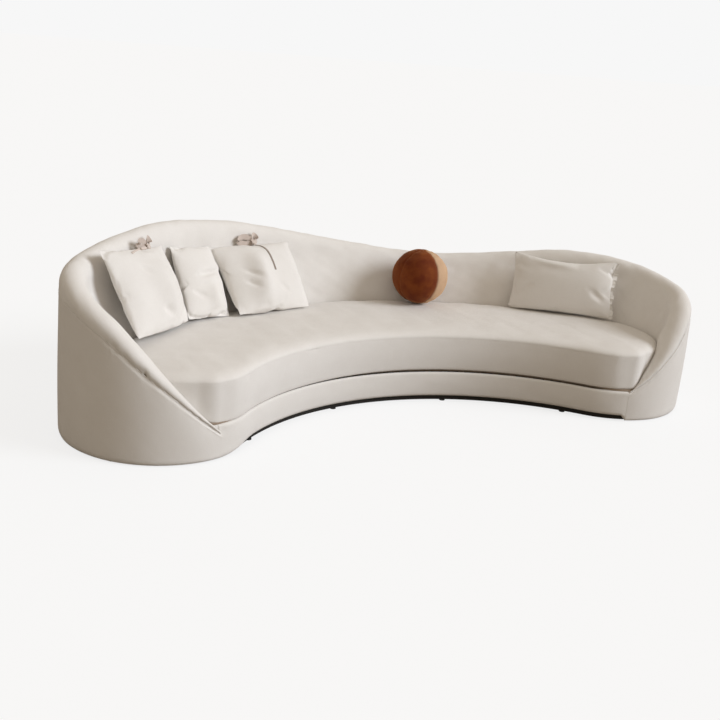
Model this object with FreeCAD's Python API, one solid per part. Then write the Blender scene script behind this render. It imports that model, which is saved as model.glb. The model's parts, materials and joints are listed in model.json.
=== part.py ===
"""A free-standing crescent sofa: frame, upholstery, one long seat cushion and loose scatter cushions.

Millimetres, +Z up, the front faces -Y. The origin is on the floor, under the middle of the outline.
Every solid is written as its own STEP file in parts/.

The plan is a crescent: two arcs about one centre, closed by round ends. A place on it is given by its
station, the distance along the outline from the middle of the back (to the right is positive), and by
its depth, the distance inward from the outline.
"""

import FreeCAD, Part

import math
import os

from FreeCAD import Vector

# Driving dimensions of the plan
FRONT_RADIUS = 1318.0
BODY_DEPTH = 904.0
SWEEP_ANGLE = 47.0
LEFT_TIP_ANGLE = 24.0
RIGHT_TIP_ANGLE = 31.0

# Driving dimensions of the layers, from the floor up
GLIDE_HEIGHT = 6.0
GLIDE_RADIUS = 16.0
GLIDE_SHARES = (-0.9, -0.3, 0.3, 0.9)
PLINTH_HEIGHT = 44.0
PLINTH_SETBACK = 24.0
PLINTH_WALL = 18.0
BOARD_THICKNESS = 18.0
DUST_CLOTH_THICKNESS = 1.5
RAIL_HEIGHT = 94.0
RAIL_WALL = 20.0
WEBBING_THICKNESS = 3.0
WEBBING_WIDTH = 60.0
WEBBING_PITCH = 4.0
WEBBING_COUNT = 21
DECK_THICKNESS = 15.0
DECK_SETBACK = 28.0
COVER_CLEARANCE_TO_FLOOR = 6.0
BAND_CLEARANCE_TO_FLOOR = 34.0
LEFT_BAND_FALL = 300.0
RIGHT_BAND_FALL = 90.0
COVER_THICKNESS = 10.0

# Driving dimensions of the ribs, joins and fasteners
RIB_THICKNESS = 18.0
RIB_HEIGHT = 82.0
RIB_PITCH = 16.0
RIB_COUNT = 6
PLATE_LENGTH = 340.0
PLATE_WIDTH = 120.0
PLATE_THICKNESS = 5.0
PLATE_SCREW_SPACING = 140.0
PLATE_SCREW_OFFSET = 36.0
SCREW_RADIUS = 3.0
SCREW_HEAD_RADIUS = 6.0
SCREW_HEAD_HEIGHT = 3.0
SCREW_BITE = 12.0

# Driving dimensions of the back: the padded rim rises and falls along the outline
LEFT_TIP_HEIGHT = 134.0
RIGHT_TIP_HEIGHT = 172.0
LEFT_ARM_HEIGHT = 645.0
RIGHT_ARM_HEIGHT = 614.0
ARM_HEIGHT_ANGLE = 98.0
LEFT_CORNER_HEIGHT = 751.0
RIGHT_CORNER_HEIGHT = 678.0
CORNER_HEIGHT_ANGLE = 140.0
LEFT_SHOULDER_HEIGHT = 874.0
LEFT_SHOULDER_REACH = 1142.0
DIP_HEIGHT = 652.0
DIP_REACH = 655.0
RIGHT_SHOULDER_HEIGHT = 743.0
RIGHT_SHOULDER_REACH = 1593.0
BACK_LEAN = 24.0
LEAN_START_BELOW_SEAT = 30.0
LEAN_STEP = 4.0
RIM_DEPTH = 120.0
ROLL_RADIUS = 56.0
ROLL_DROP = 78.0
THIN_ROLL_DROP = 2.0
FRAME_DEPTH = 44.0
FRAME_REACH = 2400.0
THIN_PAD_SHARE = 0.45
FORMER_THINNEST = 4.5
INNER_PANEL_THICKNESS = 4.0
TOP_RAIL_HEIGHT = 42.0
POST_WIDTH = 34.0
POST_COUNT = 7
POST_PITCH = 720.0
BLOCK_LENGTH = 40.0
BLOCK_HEIGHT = 32.0
WELT_SIZE = 9.0
WELT_PROUD = 2.0

# Driving dimensions of the seat cushion
SEAT_DEPTH = 666.0
SEAT_FRONT_SETBACK = -2.0
SEAT_END_SHIFT = 20.0
SEAT_THICKNESS = 220.0
SEAT_CROWN = 44.0
SEAT_CROWN_REACH = 150.0
SEAT_BACK_SHARE = 0.3
SEAT_UNDER_ROLL = 22.0
SEAT_COVER_THICKNESS = 4.0
ZIP_WIDTH = 9.0
ZIP_THICKNESS = 1.6
ZIP_HALF_ANGLE = 30.0
ZIP_RISE = 60.0

# Driving dimensions of the loose cushions: width, height, thickness
LEFT_CUSHION_SIZE = (520.0, 436.0, 134.0)
MIDDLE_CUSHION_SIZE = (305.0, 394.0, 107.0)
TIED_CUSHION_SIZE = (503.0, 414.0, 156.0)
LUMBAR_CUSHION_SIZE = (602.0, 345.0, 150.0)
CUSHION_DRAWN_IN = 16.0
CUSHION_CORNER_SHARE = 0.05
CUSHION_CORNER_SWELL = 0.75
CUSHION_SIDE_SWELL = 0.2
CUSHION_COVER_THICKNESS = 3.0
BALL_RADIUS = 162.0

# Clearances
SEAT_CLEARANCE = 4.0
WELT_CLEARANCE = 2.0
CUSHION_SEAT_GAP = 0.5
FILLING_GAP = 0.6
LAYER_GAP = 0.3
BOARD_GAP = 0.5
FORMER_GAP = 1.5
PLATE_HOLE_PLAY = 0.2

# Sizes that follow from the driving dimensions
SWEEP = math.radians(SWEEP_ANGLE)
BACK_RADIUS = FRONT_RADIUS + BODY_DEPTH
MIDDLE_RADIUS = FRONT_RADIUS + BODY_DEPTH / 2
END_RADIUS = BODY_DEPTH / 2
FRONT_REACH = MIDDLE_RADIUS * math.cos(SWEEP) - END_RADIUS
ARC_CENTRE_Y = -(FRONT_REACH + BACK_RADIUS) / 2

BACK_HALF_LENGTH = BACK_RADIUS * SWEEP
END_LENGTH = END_RADIUS * math.pi
FRONT_HALF_LENGTH = FRONT_RADIUS * SWEEP
OUTLINE_LENGTH = 2 * (BACK_HALF_LENGTH + END_LENGTH + FRONT_HALF_LENGTH)
LEFT_TIP_STATION = -BACK_HALF_LENGTH - END_RADIUS * math.radians(180 - LEFT_TIP_ANGLE)
RIGHT_TIP_STATION = BACK_HALF_LENGTH + END_RADIUS * math.radians(180 - RIGHT_TIP_ANGLE)
FRONT_START = BACK_HALF_LENGTH + END_LENGTH
FRONT_END = FRONT_START + 2 * FRONT_HALF_LENGTH

PLINTH_TOP = GLIDE_HEIGHT + PLINTH_HEIGHT
BOARD_TOP = PLINTH_TOP + BOARD_THICKNESS
RAIL_TOP = BOARD_TOP + RAIL_HEIGHT
WEBBING_TOP = RAIL_TOP + WEBBING_THICKNESS
DECK_TOP = WEBBING_TOP + DECK_THICKNESS
SEAT_BOTTOM = DECK_TOP + LAYER_GAP
SEAT_TOP = SEAT_BOTTOM + SEAT_THICKNESS
LEAN_START = SEAT_TOP - LEAN_START_BELOW_SEAT
FRAME_BACK = COVER_THICKNESS + BOARD_GAP
FRAME_FRONT = FRAME_BACK + FRAME_DEPTH
PAD_BACK = FRAME_FRONT + INNER_PANEL_THICKNESS + 2 * BOARD_GAP

SEAT_INNER_RADIUS = FRONT_RADIUS + SEAT_FRONT_SETBACK
SEAT_OUTER_RADIUS = SEAT_INNER_RADIUS + SEAT_DEPTH
SEAT_MIDDLE_RADIUS = SEAT_INNER_RADIUS + SEAT_DEPTH / 2
SEAT_SWEEP = SWEEP - SEAT_END_SHIFT / SEAT_MIDDLE_RADIUS
PAD_DEPTH = BACK_RADIUS - SEAT_OUTER_RADIUS

# Shares of a rounded form, from its edge at 0 to its middle at 1
CROWN_STEPS = (0.0, 0.02, 0.1, 0.3, 0.6, 0.8, 1.0)
CROWN_POWER = 2.5
WALL_STEPS = (0.25, 0.5, 0.75)
LENS_STEPS = (0.0, 0.3, 0.6, 0.82, 0.94, 0.985)

# Spacing of the upright sections that a loft runs through
BACK_STATION_PITCH = 150.0
END_STATION_PITCH = 50.0

# Step back from an arm's tip in the search for a former's end
FORMER_STEP = 1.0

# Fineness of the points that a cushion is settled by
SETTLE_TOLERANCE = 0.2


def from_arc_centre(radius, bearing, z):
    """Point at a radius from the arc centre, with the bearing in radians clockwise from +Y."""
    return Vector(radius * math.sin(bearing), ARC_CENTRE_Y + radius * math.cos(bearing), z)


def outward(bearing):
    """Level unit vector along a bearing."""
    return Vector(math.sin(bearing), math.cos(bearing), 0)


def outline_pieces():
    """Arcs of the outline, clockwise from the middle of the back.

    Each is start station, end station, centre, radius, start bearing, bearing change and the side
    (-1 where the body lies towards the centre, 1 where it lies away from it).
    """
    right_end = from_arc_centre(MIDDLE_RADIUS, SWEEP, 0)
    left_end = from_arc_centre(MIDDLE_RADIUS, -SWEEP, 0)
    centre = Vector(0, ARC_CENTRE_Y, 0)
    pieces = []
    station = 0.0
    for length, middle, radius, bearing, change, side in (
        (BACK_HALF_LENGTH, centre, BACK_RADIUS, 0.0, SWEEP, -1),
        (END_LENGTH, right_end, END_RADIUS, SWEEP, math.pi, -1),
        (2 * FRONT_HALF_LENGTH, centre, FRONT_RADIUS, SWEEP, -2 * SWEEP, 1),
        (END_LENGTH, left_end, END_RADIUS, math.pi - SWEEP, math.pi, -1),
        (BACK_HALF_LENGTH, centre, BACK_RADIUS, -SWEEP, SWEEP, -1),
    ):
        pieces.append((station, station + length, middle, radius, bearing, change, side))
        station += length
    return pieces


OUTLINE = outline_pieces()


def place(station, depth, z):
    """Point at a station of the outline, at a depth inside it and a height."""
    along = station % OUTLINE_LENGTH
    for start, end, middle, radius, bearing, change, side in OUTLINE:
        if along <= end:
            break
    turn = bearing + change * (along - start) / (end - start)
    return middle + outward(turn) * (radius + side * depth) + Vector(0, 0, z)


def inward_at(station):
    """Level unit vector into the body at a station."""
    return place(station, 1, 0) - place(station, 0, 0)


def arc(first, middle, last):
    """Edge along the arc through three points."""
    return Part.Arc(first, middle, last).toShape()


def line(first, last):
    """Straight edge between two points."""
    return Part.LineSegment(first, last).toShape()


def outline_edges(start, end, depth, z):
    """Arcs along the outline from one station to a later one, at a depth and a height."""
    joins = {start, end}
    for turn in (-1, 0, 1):
        for piece in OUTLINE:
            join = piece[0] + turn * OUTLINE_LENGTH
            if start < join < end:
                joins.add(join)
    stops = sorted(joins)
    edges = []
    for first, last in zip(stops, stops[1:]):
        middle = (first + last) / 2
        edges.append(arc(place(first, depth, z), place(middle, depth, z), place(last, depth, z)))
    return edges


def strip(start, end, near, far, bottom, top):
    """Upright band along the outline between two stations, two depths and two heights."""
    edges = outline_edges(start, end, near, bottom)
    edges.append(line(place(end, near, bottom), place(end, far, bottom)))
    edges += outline_edges(start, end, far, bottom)
    edges.append(line(place(start, near, bottom), place(start, far, bottom)))
    face = Part.Face(Part.Wire(Part.sortEdges(edges)[0]))
    return face.extrude(Vector(0, 0, top - bottom))


def crescent_wire(inner, outer, sweep, z):
    """Closed crescent of arcs between two radii, with round ends."""
    middle = (inner + outer) / 2
    end = (outer - inner) / 2
    right = from_arc_centre(middle, sweep, z)
    left = from_arc_centre(middle, -sweep, z)
    quarter = math.pi / 2

    def end_arc(centre, bearing):
        return arc(
            centre + outward(bearing) * end,
            centre + outward(bearing + quarter / 2) * end,
            centre + outward(bearing + quarter) * end,
        )

    def long_arc(radius, first, last):
        halfway = (first + last) / 2
        return arc(
            from_arc_centre(radius, first, z),
            from_arc_centre(radius, halfway, z),
            from_arc_centre(radius, last, z),
        )

    return Part.Wire([
        long_arc(outer, 0, sweep),
        end_arc(right, sweep),
        end_arc(right, sweep + quarter),
        long_arc(inner, sweep, 0),
        long_arc(inner, 0, -sweep),
        end_arc(left, math.pi - sweep),
        end_arc(left, math.pi - sweep + quarter),
        long_arc(outer, -sweep, 0),
    ])


def crescent_slab(inner, outer, sweep, bottom, top):
    """Flat slab with a crescent outline."""
    face = Part.Face(crescent_wire(inner, outer, sweep, bottom))
    return face.extrude(Vector(0, 0, top - bottom))


def sector(inner, outer, first, last, bottom, top):
    """Slab between two radii and two bearings about the arc centre."""
    middle = (first + last) / 2
    edges = [
        arc(*(from_arc_centre(outer, turn, bottom) for turn in (first, middle, last))),
        line(from_arc_centre(outer, last, bottom), from_arc_centre(inner, last, bottom)),
        arc(*(from_arc_centre(inner, turn, bottom) for turn in (last, middle, first))),
        line(from_arc_centre(inner, first, bottom), from_arc_centre(outer, first, bottom)),
    ]
    return Part.Face(Part.Wire(edges)).extrude(Vector(0, 0, top - bottom))


def radial_bar(bearing, inner, outer, width, bottom, top):
    """Straight bar along a radius."""
    side = outward(bearing + math.pi / 2) * (width / 2)
    near = from_arc_centre(inner, bearing, bottom)
    far = from_arc_centre(outer, bearing, bottom)
    corners = [near - side, near + side, far + side, far - side, near - side]
    return Part.Face(Part.makePolygon(corners)).extrude(Vector(0, 0, top - bottom))


def upright(point, radius, bottom, top):
    """Upright cylinder."""
    return Part.makeCylinder(radius, top - bottom, Vector(point.x, point.y, bottom))


def hollow(outer, inner):
    """Closed skin between a solid and a smaller one inside it."""
    return Part.makeSolid(Part.makeCompound([outer.Shells[0], inner.Shells[0].reversed()]))


# Rim of the back


def end_station(angle):
    """Station on a round end, from its angle round the end from the front edge in degrees."""
    return BACK_HALF_LENGTH + END_RADIUS * math.radians(180 - angle)


RIM_POINTS = (
    (LEFT_TIP_STATION, LEFT_TIP_HEIGHT),
    (-end_station(ARM_HEIGHT_ANGLE), LEFT_ARM_HEIGHT),
    (-end_station(CORNER_HEIGHT_ANGLE), LEFT_CORNER_HEIGHT),
    (-LEFT_SHOULDER_REACH, LEFT_SHOULDER_HEIGHT),
    (DIP_REACH, DIP_HEIGHT),
    (RIGHT_SHOULDER_REACH, RIGHT_SHOULDER_HEIGHT),
    (end_station(CORNER_HEIGHT_ANGLE), RIGHT_CORNER_HEIGHT),
    (end_station(ARM_HEIGHT_ANGLE), RIGHT_ARM_HEIGHT),
    (RIGHT_TIP_STATION, RIGHT_TIP_HEIGHT),
)


def rim_slopes():
    """Slope of the rim at each of its points, level at a shoulder or a dip."""
    rises = [(b[1] - a[1]) / (b[0] - a[0]) for a, b in zip(RIM_POINTS, RIM_POINTS[1:])]
    slopes = [rises[0]]
    for before, after in zip(rises, rises[1:]):
        flat = before * after <= 0
        slopes.append(0.0 if flat else 2 * before * after / (before + after))
    return slopes + [rises[-1]]


RIM_SLOPES = rim_slopes()


def rim_height(station):
    """Height of the rim's crest at a station, a smooth curve through the rim's points."""
    number = 0
    while number < len(RIM_POINTS) - 2 and station > RIM_POINTS[number + 1][0]:
        number += 1
    (start, low), (end, high) = RIM_POINTS[number:number + 2]
    span = end - start
    share = (station - start) / span
    square, cube = share ** 2, share ** 3
    return (
        low * (2 * cube - 3 * square + 1)
        + high * (3 * square - 2 * cube)
        + span * RIM_SLOPES[number] * (cube - 2 * square + share)
        + span * RIM_SLOPES[number + 1] * (cube - square)
    )


def pad_depth(station):
    """Depth of the pad's seat side below the seat's top: it thins round the ends to the arm tips."""
    if abs(station) <= BACK_RADIUS * SEAT_SWEEP:
        return PAD_DEPTH
    side = math.copysign(1, station)
    centre = from_arc_centre(SEAT_MIDDLE_RADIUS, side * SEAT_SWEEP, 0)
    towards = centre - place(station, 0, 0)
    along = towards.dot(inward_at(station))
    across = towards.Length ** 2 - along ** 2
    return along - math.sqrt((SEAT_DEPTH / 2) ** 2 - across)


def roll_radius(station):
    """Radius of the rim's rounded edge, smaller where the pad is thin."""
    return min(ROLL_RADIUS, pad_depth(station) * THIN_PAD_SHARE)


def crest_depth(station):
    """Depth of the pad's seat side at the top of the rim, above the lean."""
    return min(RIM_DEPTH, pad_depth(station))


def lean_heights(station):
    """Heights between which the pad's seat side leans back."""
    ceiling = rim_height(station) - roll_radius(station)
    knee = min(LEAN_START, ceiling - 3 * LEAN_STEP)
    rise = (pad_depth(station) - crest_depth(station)) / math.tan(math.radians(BACK_LEAN))
    return knee, min(knee + max(rise, LEAN_STEP), ceiling - LEAN_STEP)


def welt_height(station):
    """Height of the seam between the rim and the outer cover."""
    radius = roll_radius(station)
    under_roll = radius * (ROLL_DROP / ROLL_RADIUS - 1)
    least = WELT_SIZE / 2 + WELT_CLEARANCE + THIN_ROLL_DROP
    return rim_height(station) - radius - max(under_roll, least)


def pad_back(station):
    """Depth of the pad's hidden side, against the frame."""
    return min(PAD_BACK, pad_depth(station) * THIN_PAD_SHARE)


def pad_section(station):
    """Closed wire across the back pad: lean, rounded rim, and the hook over the frame."""
    height = rim_height(station)
    radius = roll_radius(station)
    crest = crest_depth(station)
    depth = pad_depth(station)
    hidden = pad_back(station)
    ledge = welt_height(station) + WELT_SIZE / 2 + WELT_CLEARANCE
    knee, lean_top = lean_heights(station)
    diagonal = radius * (1 - math.sqrt(0.5))

    def at(inside, z):
        return place(station, inside, z)

    return Part.Wire([
        line(at(depth, BOARD_TOP), at(depth, knee)),
        line(at(depth, knee), at(crest, lean_top)),
        line(at(crest, lean_top), at(crest, height - radius)),
        arc(at(crest, height - radius), at(crest - diagonal, height - diagonal), at(crest - radius, height)),
        line(at(crest - radius, height), at(radius, height)),
        arc(at(radius, height), at(diagonal, height - diagonal), at(0, height - radius)),
        line(at(0, height - radius), at(0, ledge)),
        line(at(0, ledge), at(hidden, ledge)),
        line(at(hidden, ledge), at(hidden, BOARD_TOP)),
        line(at(hidden, BOARD_TOP), at(depth, BOARD_TOP)),
    ])


def quad_section(near, far, bottom, top):
    """Maker of upright four-sided sections; each limit is a function of the station."""
    def section(station):
        corners = [
            place(station, near(station), bottom(station)),
            place(station, far(station), bottom(station)),
            place(station, far(station), top(station)),
            place(station, near(station), top(station)),
        ]
        return Part.makePolygon(corners + corners[:1])
    return section


def always(value):
    """Function of the station that stays the same."""
    return lambda station: value


def stations_between(start, end):
    """Stations for a loft along one arc: close together on a round end, wider apart on the back."""
    on_back = abs(start + end) / 2 < BACK_HALF_LENGTH
    pitch = BACK_STATION_PITCH if on_back else END_STATION_PITCH
    count = max(2, math.ceil((end - start) / pitch))
    return [start + (end - start) * number / count for number in range(count + 1)]


def along_rim(section, start, end):
    """Solid lofted through upright sections between two stations, one loft for each arc."""
    ends_of_arcs = (-BACK_HALF_LENGTH, BACK_HALF_LENGTH, FRONT_START, FRONT_END)
    joins = [join for join in ends_of_arcs if start < join < end]
    stops = [start] + joins + [end]
    lofts = []
    for first, last in zip(stops, stops[1:]):
        wires = [section(station) for station in stations_between(first, last)]
        lofts.append(Part.makeLoft(wires, True, False))
    return lofts[0].fuse(lofts[1:]) if joins else lofts[0]


# Base: glides, plinth, boards


def glides():
    """Round glides under the plinth."""
    depth = PLINTH_SETBACK + PLINTH_WALL / 2
    front_middle = FRONT_START + FRONT_HALF_LENGTH
    stations = [BACK_HALF_LENGTH * share for share in GLIDE_SHARES]
    stations += [front_middle + FRONT_HALF_LENGTH * share for share in GLIDE_SHARES]
    stations += [BACK_HALF_LENGTH + END_LENGTH / 2, -BACK_HALF_LENGTH - END_LENGTH / 2]
    return Part.makeCompound([
        upright(place(station, depth, 0), GLIDE_RADIUS, 0, GLIDE_HEIGHT) for station in stations
    ])


def plinth_back():
    """Plinth wall under the back and both ends."""
    far = PLINTH_SETBACK + PLINTH_WALL
    return strip(-FRONT_START, FRONT_START, PLINTH_SETBACK, far, GLIDE_HEIGHT, PLINTH_TOP)


def plinth_front():
    """Plinth wall under the concave front."""
    far = PLINTH_SETBACK + PLINTH_WALL
    return strip(FRONT_START, FRONT_END, PLINTH_SETBACK, far, GLIDE_HEIGHT, PLINTH_TOP)


def dust_cloth():
    """Thin cloth under the boards, inside the plinth."""
    inset = PLINTH_SETBACK + PLINTH_WALL + BOARD_GAP
    return crescent_slab(
        FRONT_RADIUS + inset, BACK_RADIUS - inset, SWEEP, PLINTH_TOP - DUST_CLOTH_THICKNESS, PLINTH_TOP
    )


SPLICE = math.radians(RIB_PITCH)


def base_boards():
    """Three base boards, left, middle and right, drilled for the frame screws."""
    inner = FRONT_RADIUS + FRAME_BACK
    outer = BACK_RADIUS - FRAME_BACK
    whole = crescent_slab(inner, outer, SWEEP, PLINTH_TOP, BOARD_TOP)
    middle = sector(inner, outer, -SPLICE, SPLICE, PLINTH_TOP, BOARD_TOP)
    ends = sorted(whole.cut(middle).Solids, key=lambda solid: solid.CenterOfMass.x)
    drills = [
        upright(point, SCREW_RADIUS + PLATE_HOLE_PLAY, BOARD_TOP - SCREW_BITE, BOARD_TOP)
        for point, top in screw_places()
    ]
    boards = (ends[0], middle, ends[1])
    return [board.cut(Part.makeCompound(drills)) for board in boards]


def splice_plates():
    """Plates that join the boards, drilled for their screws."""
    plates = []
    for side in (-1, 1):
        plate = radial_bar(
            side * SPLICE,
            MIDDLE_RADIUS - PLATE_LENGTH / 2,
            MIDDLE_RADIUS + PLATE_LENGTH / 2,
            PLATE_WIDTH,
            BOARD_TOP,
            BOARD_TOP + PLATE_THICKNESS,
        )
        for point in plate_screw_points(side):
            hole = upright(point, SCREW_RADIUS + PLATE_HOLE_PLAY, BOARD_TOP, BOARD_TOP + PLATE_THICKNESS)
            plate = plate.cut(hole)
        plates.append(plate)
    return Part.makeCompound(plates)


def plate_screw_points(side):
    """Where the screws of one splice plate go, in pairs across the join."""
    points = []
    for row in (-1, 0, 1):
        middle = from_arc_centre(MIDDLE_RADIUS + row * PLATE_SCREW_SPACING, side * SPLICE, 0)
        across = outward(side * SPLICE + math.pi / 2) * PLATE_SCREW_OFFSET
        points += [middle - across, middle + across]
    return points


def screw_places():
    """Every frame screw: its place in plan and the height of the face under its head."""
    places = [(point, BOARD_TOP + PLATE_THICKNESS) for side in (-1, 1) for point in plate_screw_points(side)]
    for station in post_stations():
        middle = station + (POST_WIDTH + BLOCK_LENGTH) / 2 + BOARD_GAP
        places.append((place(middle, (FRAME_BACK + FRAME_FRONT) / 2, 0), BOARD_TOP + BLOCK_HEIGHT))
    return places


def frame_screws():
    """Pan-head screws of the splice plates and corner blocks."""
    screws = []
    for point, face in screw_places():
        shank = upright(point, SCREW_RADIUS, BOARD_TOP - SCREW_BITE, face)
        head = upright(point, SCREW_HEAD_RADIUS, face, face + SCREW_HEAD_HEIGHT)
        screws.append(shank.fuse(head).removeSplitter())
    return Part.makeCompound(screws)


# Seat frame


def front_rail():
    """Rail behind the front band, carried round both front corners to the arm tips."""
    return strip(
        RIGHT_TIP_STATION,
        OUTLINE_LENGTH + LEFT_TIP_STATION,
        FRAME_BACK,
        FRAME_BACK + RAIL_WALL,
        BOARD_TOP,
        RAIL_TOP,
    )


def seat_rail():
    """Rail under the back and ends of the seat."""
    outer = SEAT_OUTER_RADIUS - SEAT_CLEARANCE
    inner = SEAT_INNER_RADIUS + SEAT_CLEARANCE
    ring = crescent_slab(inner, outer, SEAT_SWEEP, BOARD_TOP, RAIL_TOP)
    ring = ring.cut(crescent_slab(inner + RAIL_WALL, outer - RAIL_WALL, SEAT_SWEEP, BOARD_TOP, RAIL_TOP))
    reach = FRAME_BACK + RAIL_WALL + BOARD_GAP
    behind = crescent_slab(FRONT_RADIUS + reach, BACK_RADIUS - reach, SWEEP, BOARD_TOP, RAIL_TOP)
    bay = sector(FRONT_RADIUS, FRONT_RADIUS + 2 * reach, -SEAT_SWEEP, SEAT_SWEEP, BOARD_TOP, RAIL_TOP)
    return ring.common(behind).cut(bay)


def rib_bearings():
    """Bearings of the ribs, spread evenly about the middle."""
    return [math.radians((number - (RIB_COUNT - 1) / 2) * RIB_PITCH) for number in range(RIB_COUNT)]


def ribs():
    """Ribs from the front rail to the seat rail."""
    half = RIB_THICKNESS / 2
    inner = math.hypot(FRONT_RADIUS + FRAME_BACK + RAIL_WALL, half)
    outer = math.sqrt((SEAT_OUTER_RADIUS - SEAT_CLEARANCE - RAIL_WALL) ** 2 - half ** 2)
    return [
        radial_bar(turn, inner, outer, RIB_THICKNESS, BOARD_TOP, BOARD_TOP + RIB_HEIGHT)
        for turn in rib_bearings()
    ]


def seat_webbing():
    """Elastic straps across the seat, on both rails."""
    inner = FRONT_RADIUS + FRAME_BACK
    outer = SEAT_OUTER_RADIUS - SEAT_CLEARANCE
    first = -(WEBBING_COUNT - 1) / 2
    return Part.makeCompound([
        radial_bar(
            math.radians((first + number) * WEBBING_PITCH),
            math.hypot(inner, WEBBING_WIDTH / 2),
            math.sqrt(outer ** 2 - (WEBBING_WIDTH / 2) ** 2),
            WEBBING_WIDTH,
            RAIL_TOP,
            WEBBING_TOP,
        )
        for number in range(WEBBING_COUNT)
    ])


def deck_pad():
    """Firm dark pad on the webbing, set back from the front as a shadow gap."""
    inner = FRONT_RADIUS + DECK_SETBACK
    outer = SEAT_OUTER_RADIUS - SEAT_CLEARANCE
    return crescent_slab(inner, outer, SEAT_SWEEP, WEBBING_TOP, DECK_TOP)


# Back frame


def post_stations():
    """Stations of the back posts, spread evenly about the middle of the back."""
    return [(number - (POST_COUNT - 1) / 2) * POST_PITCH for number in range(POST_COUNT)]


def rail_top(station):
    """Top of the top rail, just under the rim's hook."""
    return welt_height(station) - BOARD_GAP


def rail_bottom(station):
    """Underside of the top rail."""
    return rail_top(station) - TOP_RAIL_HEIGHT


def top_rail():
    """Bent rail that follows the rim."""
    section = quad_section(always(FRAME_BACK), always(FRAME_FRONT), rail_bottom, rail_top)
    return along_rim(section, -FRAME_REACH, FRAME_REACH)


def back_posts():
    """Posts from the base boards to the top rail."""
    section = quad_section(
        always(FRAME_BACK), always(FRAME_FRONT), always(BOARD_TOP), lambda s: rail_bottom(s) - LAYER_GAP
    )
    half = POST_WIDTH / 2
    return [
        Part.makeLoft([section(station - half), section(station + half)], True, True)
        for station in post_stations()
    ]


def corner_blocks():
    """Glue blocks that hold the post feet, each drilled for its screw."""
    blocks = []
    for station in post_stations():
        start = station + POST_WIDTH / 2 + BOARD_GAP
        block = strip(
            start, start + BLOCK_LENGTH, FRAME_BACK, FRAME_FRONT, BOARD_TOP, BOARD_TOP + BLOCK_HEIGHT
        )
        middle = place(start + BLOCK_LENGTH / 2, (FRAME_BACK + FRAME_FRONT) / 2, 0)
        hole = upright(middle, SCREW_RADIUS + PLATE_HOLE_PLAY, BOARD_TOP, BOARD_TOP + BLOCK_HEIGHT)
        blocks.append(block.cut(hole))
    return Part.makeCompound(blocks)


def inner_panel():
    """Thin board on the seat side of the posts, behind the pads."""
    near = FRAME_FRONT + BOARD_GAP
    section = quad_section(
        always(near), always(near + INNER_PANEL_THICKNESS), always(BOARD_TOP), rail_top
    )
    return along_rim(section, -FRAME_REACH, FRAME_REACH)


def former_end(tip):
    """Distance along the outline where a former ends: at its tip, or sooner where the pad is too thin."""
    station = tip
    while pad_back(station) - FORMER_GAP - FRAME_BACK < FORMER_THINNEST:
        station -= FORMER_STEP
    return station


def arm_formers():
    """Shaped formers inside the arms, left and right, from the last rail to the tip."""
    section = quad_section(
        always(FRAME_BACK), lambda s: pad_back(s) - FORMER_GAP, always(BOARD_TOP), rail_top
    )
    start = FRAME_REACH + BOARD_GAP
    return [
        along_rim(section, -former_end(-LEFT_TIP_STATION), -start),
        along_rim(section, start, former_end(RIGHT_TIP_STATION)),
    ]


# Upholstery on the frame

PAD_JOINS = [LEFT_TIP_STATION, -FRAME_REACH]
PAD_JOINS += [BACK_HALF_LENGTH * step / 2 for step in range(-2, 3)]
PAD_JOINS += [FRAME_REACH, RIGHT_TIP_STATION]
COVER_JOINS = [LEFT_TIP_STATION, -BACK_HALF_LENGTH, 0.0, BACK_HALF_LENGTH, RIGHT_TIP_STATION]


def pads():
    """Pads of the left arm, the back and the right arm, in order."""
    return [along_rim(pad_section, start, end) for start, end in zip(PAD_JOINS, PAD_JOINS[1:])]


def outer_covers():
    """Panels of the outer cover, from the left arm tip round the back to the right."""
    section = quad_section(
        always(0.0),
        always(COVER_THICKNESS),
        always(COVER_CLEARANCE_TO_FLOOR),
        lambda s: welt_height(s) - WELT_SIZE / 2 - BOARD_GAP,
    )
    return [along_rim(section, start, end) for start, end in zip(COVER_JOINS, COVER_JOINS[1:])]


def band_bottom(station):
    """Lower edge of the front band: over the plinth, and down to the outer cover's edge at each tip."""
    right = (station - RIGHT_TIP_STATION) / RIGHT_BAND_FALL
    left = (OUTLINE_LENGTH + LEFT_TIP_STATION - station) / LEFT_BAND_FALL
    share = max(0.0, min(1.0, right, left))
    lift = share * share * (3 - 2 * share)
    return COVER_CLEARANCE_TO_FLOOR + (BAND_CLEARANCE_TO_FLOOR - COVER_CLEARANCE_TO_FLOOR) * lift


def front_band():
    """Upholstered band along the front, between the arm tips."""
    section = quad_section(always(0.0), always(COVER_THICKNESS), band_bottom, always(RAIL_TOP))
    return along_rim(section, RIGHT_TIP_STATION, OUTLINE_LENGTH + LEFT_TIP_STATION)


def welt():
    """Piping in the seam between the rim and the outer cover."""
    section = quad_section(
        always(-WELT_PROUD),
        always(WELT_SIZE - WELT_PROUD),
        lambda s: welt_height(s) - WELT_SIZE / 2,
        lambda s: welt_height(s) + WELT_SIZE / 2,
    )
    return along_rim(section, LEFT_TIP_STATION, RIGHT_TIP_STATION)


# Seat cushion


def crown_share(share):
    """Rise of a rounded edge, from 0 at the edge to 1 at the middle."""
    return (1 - (1 - share) ** CROWN_POWER) ** (1 / CROWN_POWER)


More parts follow.
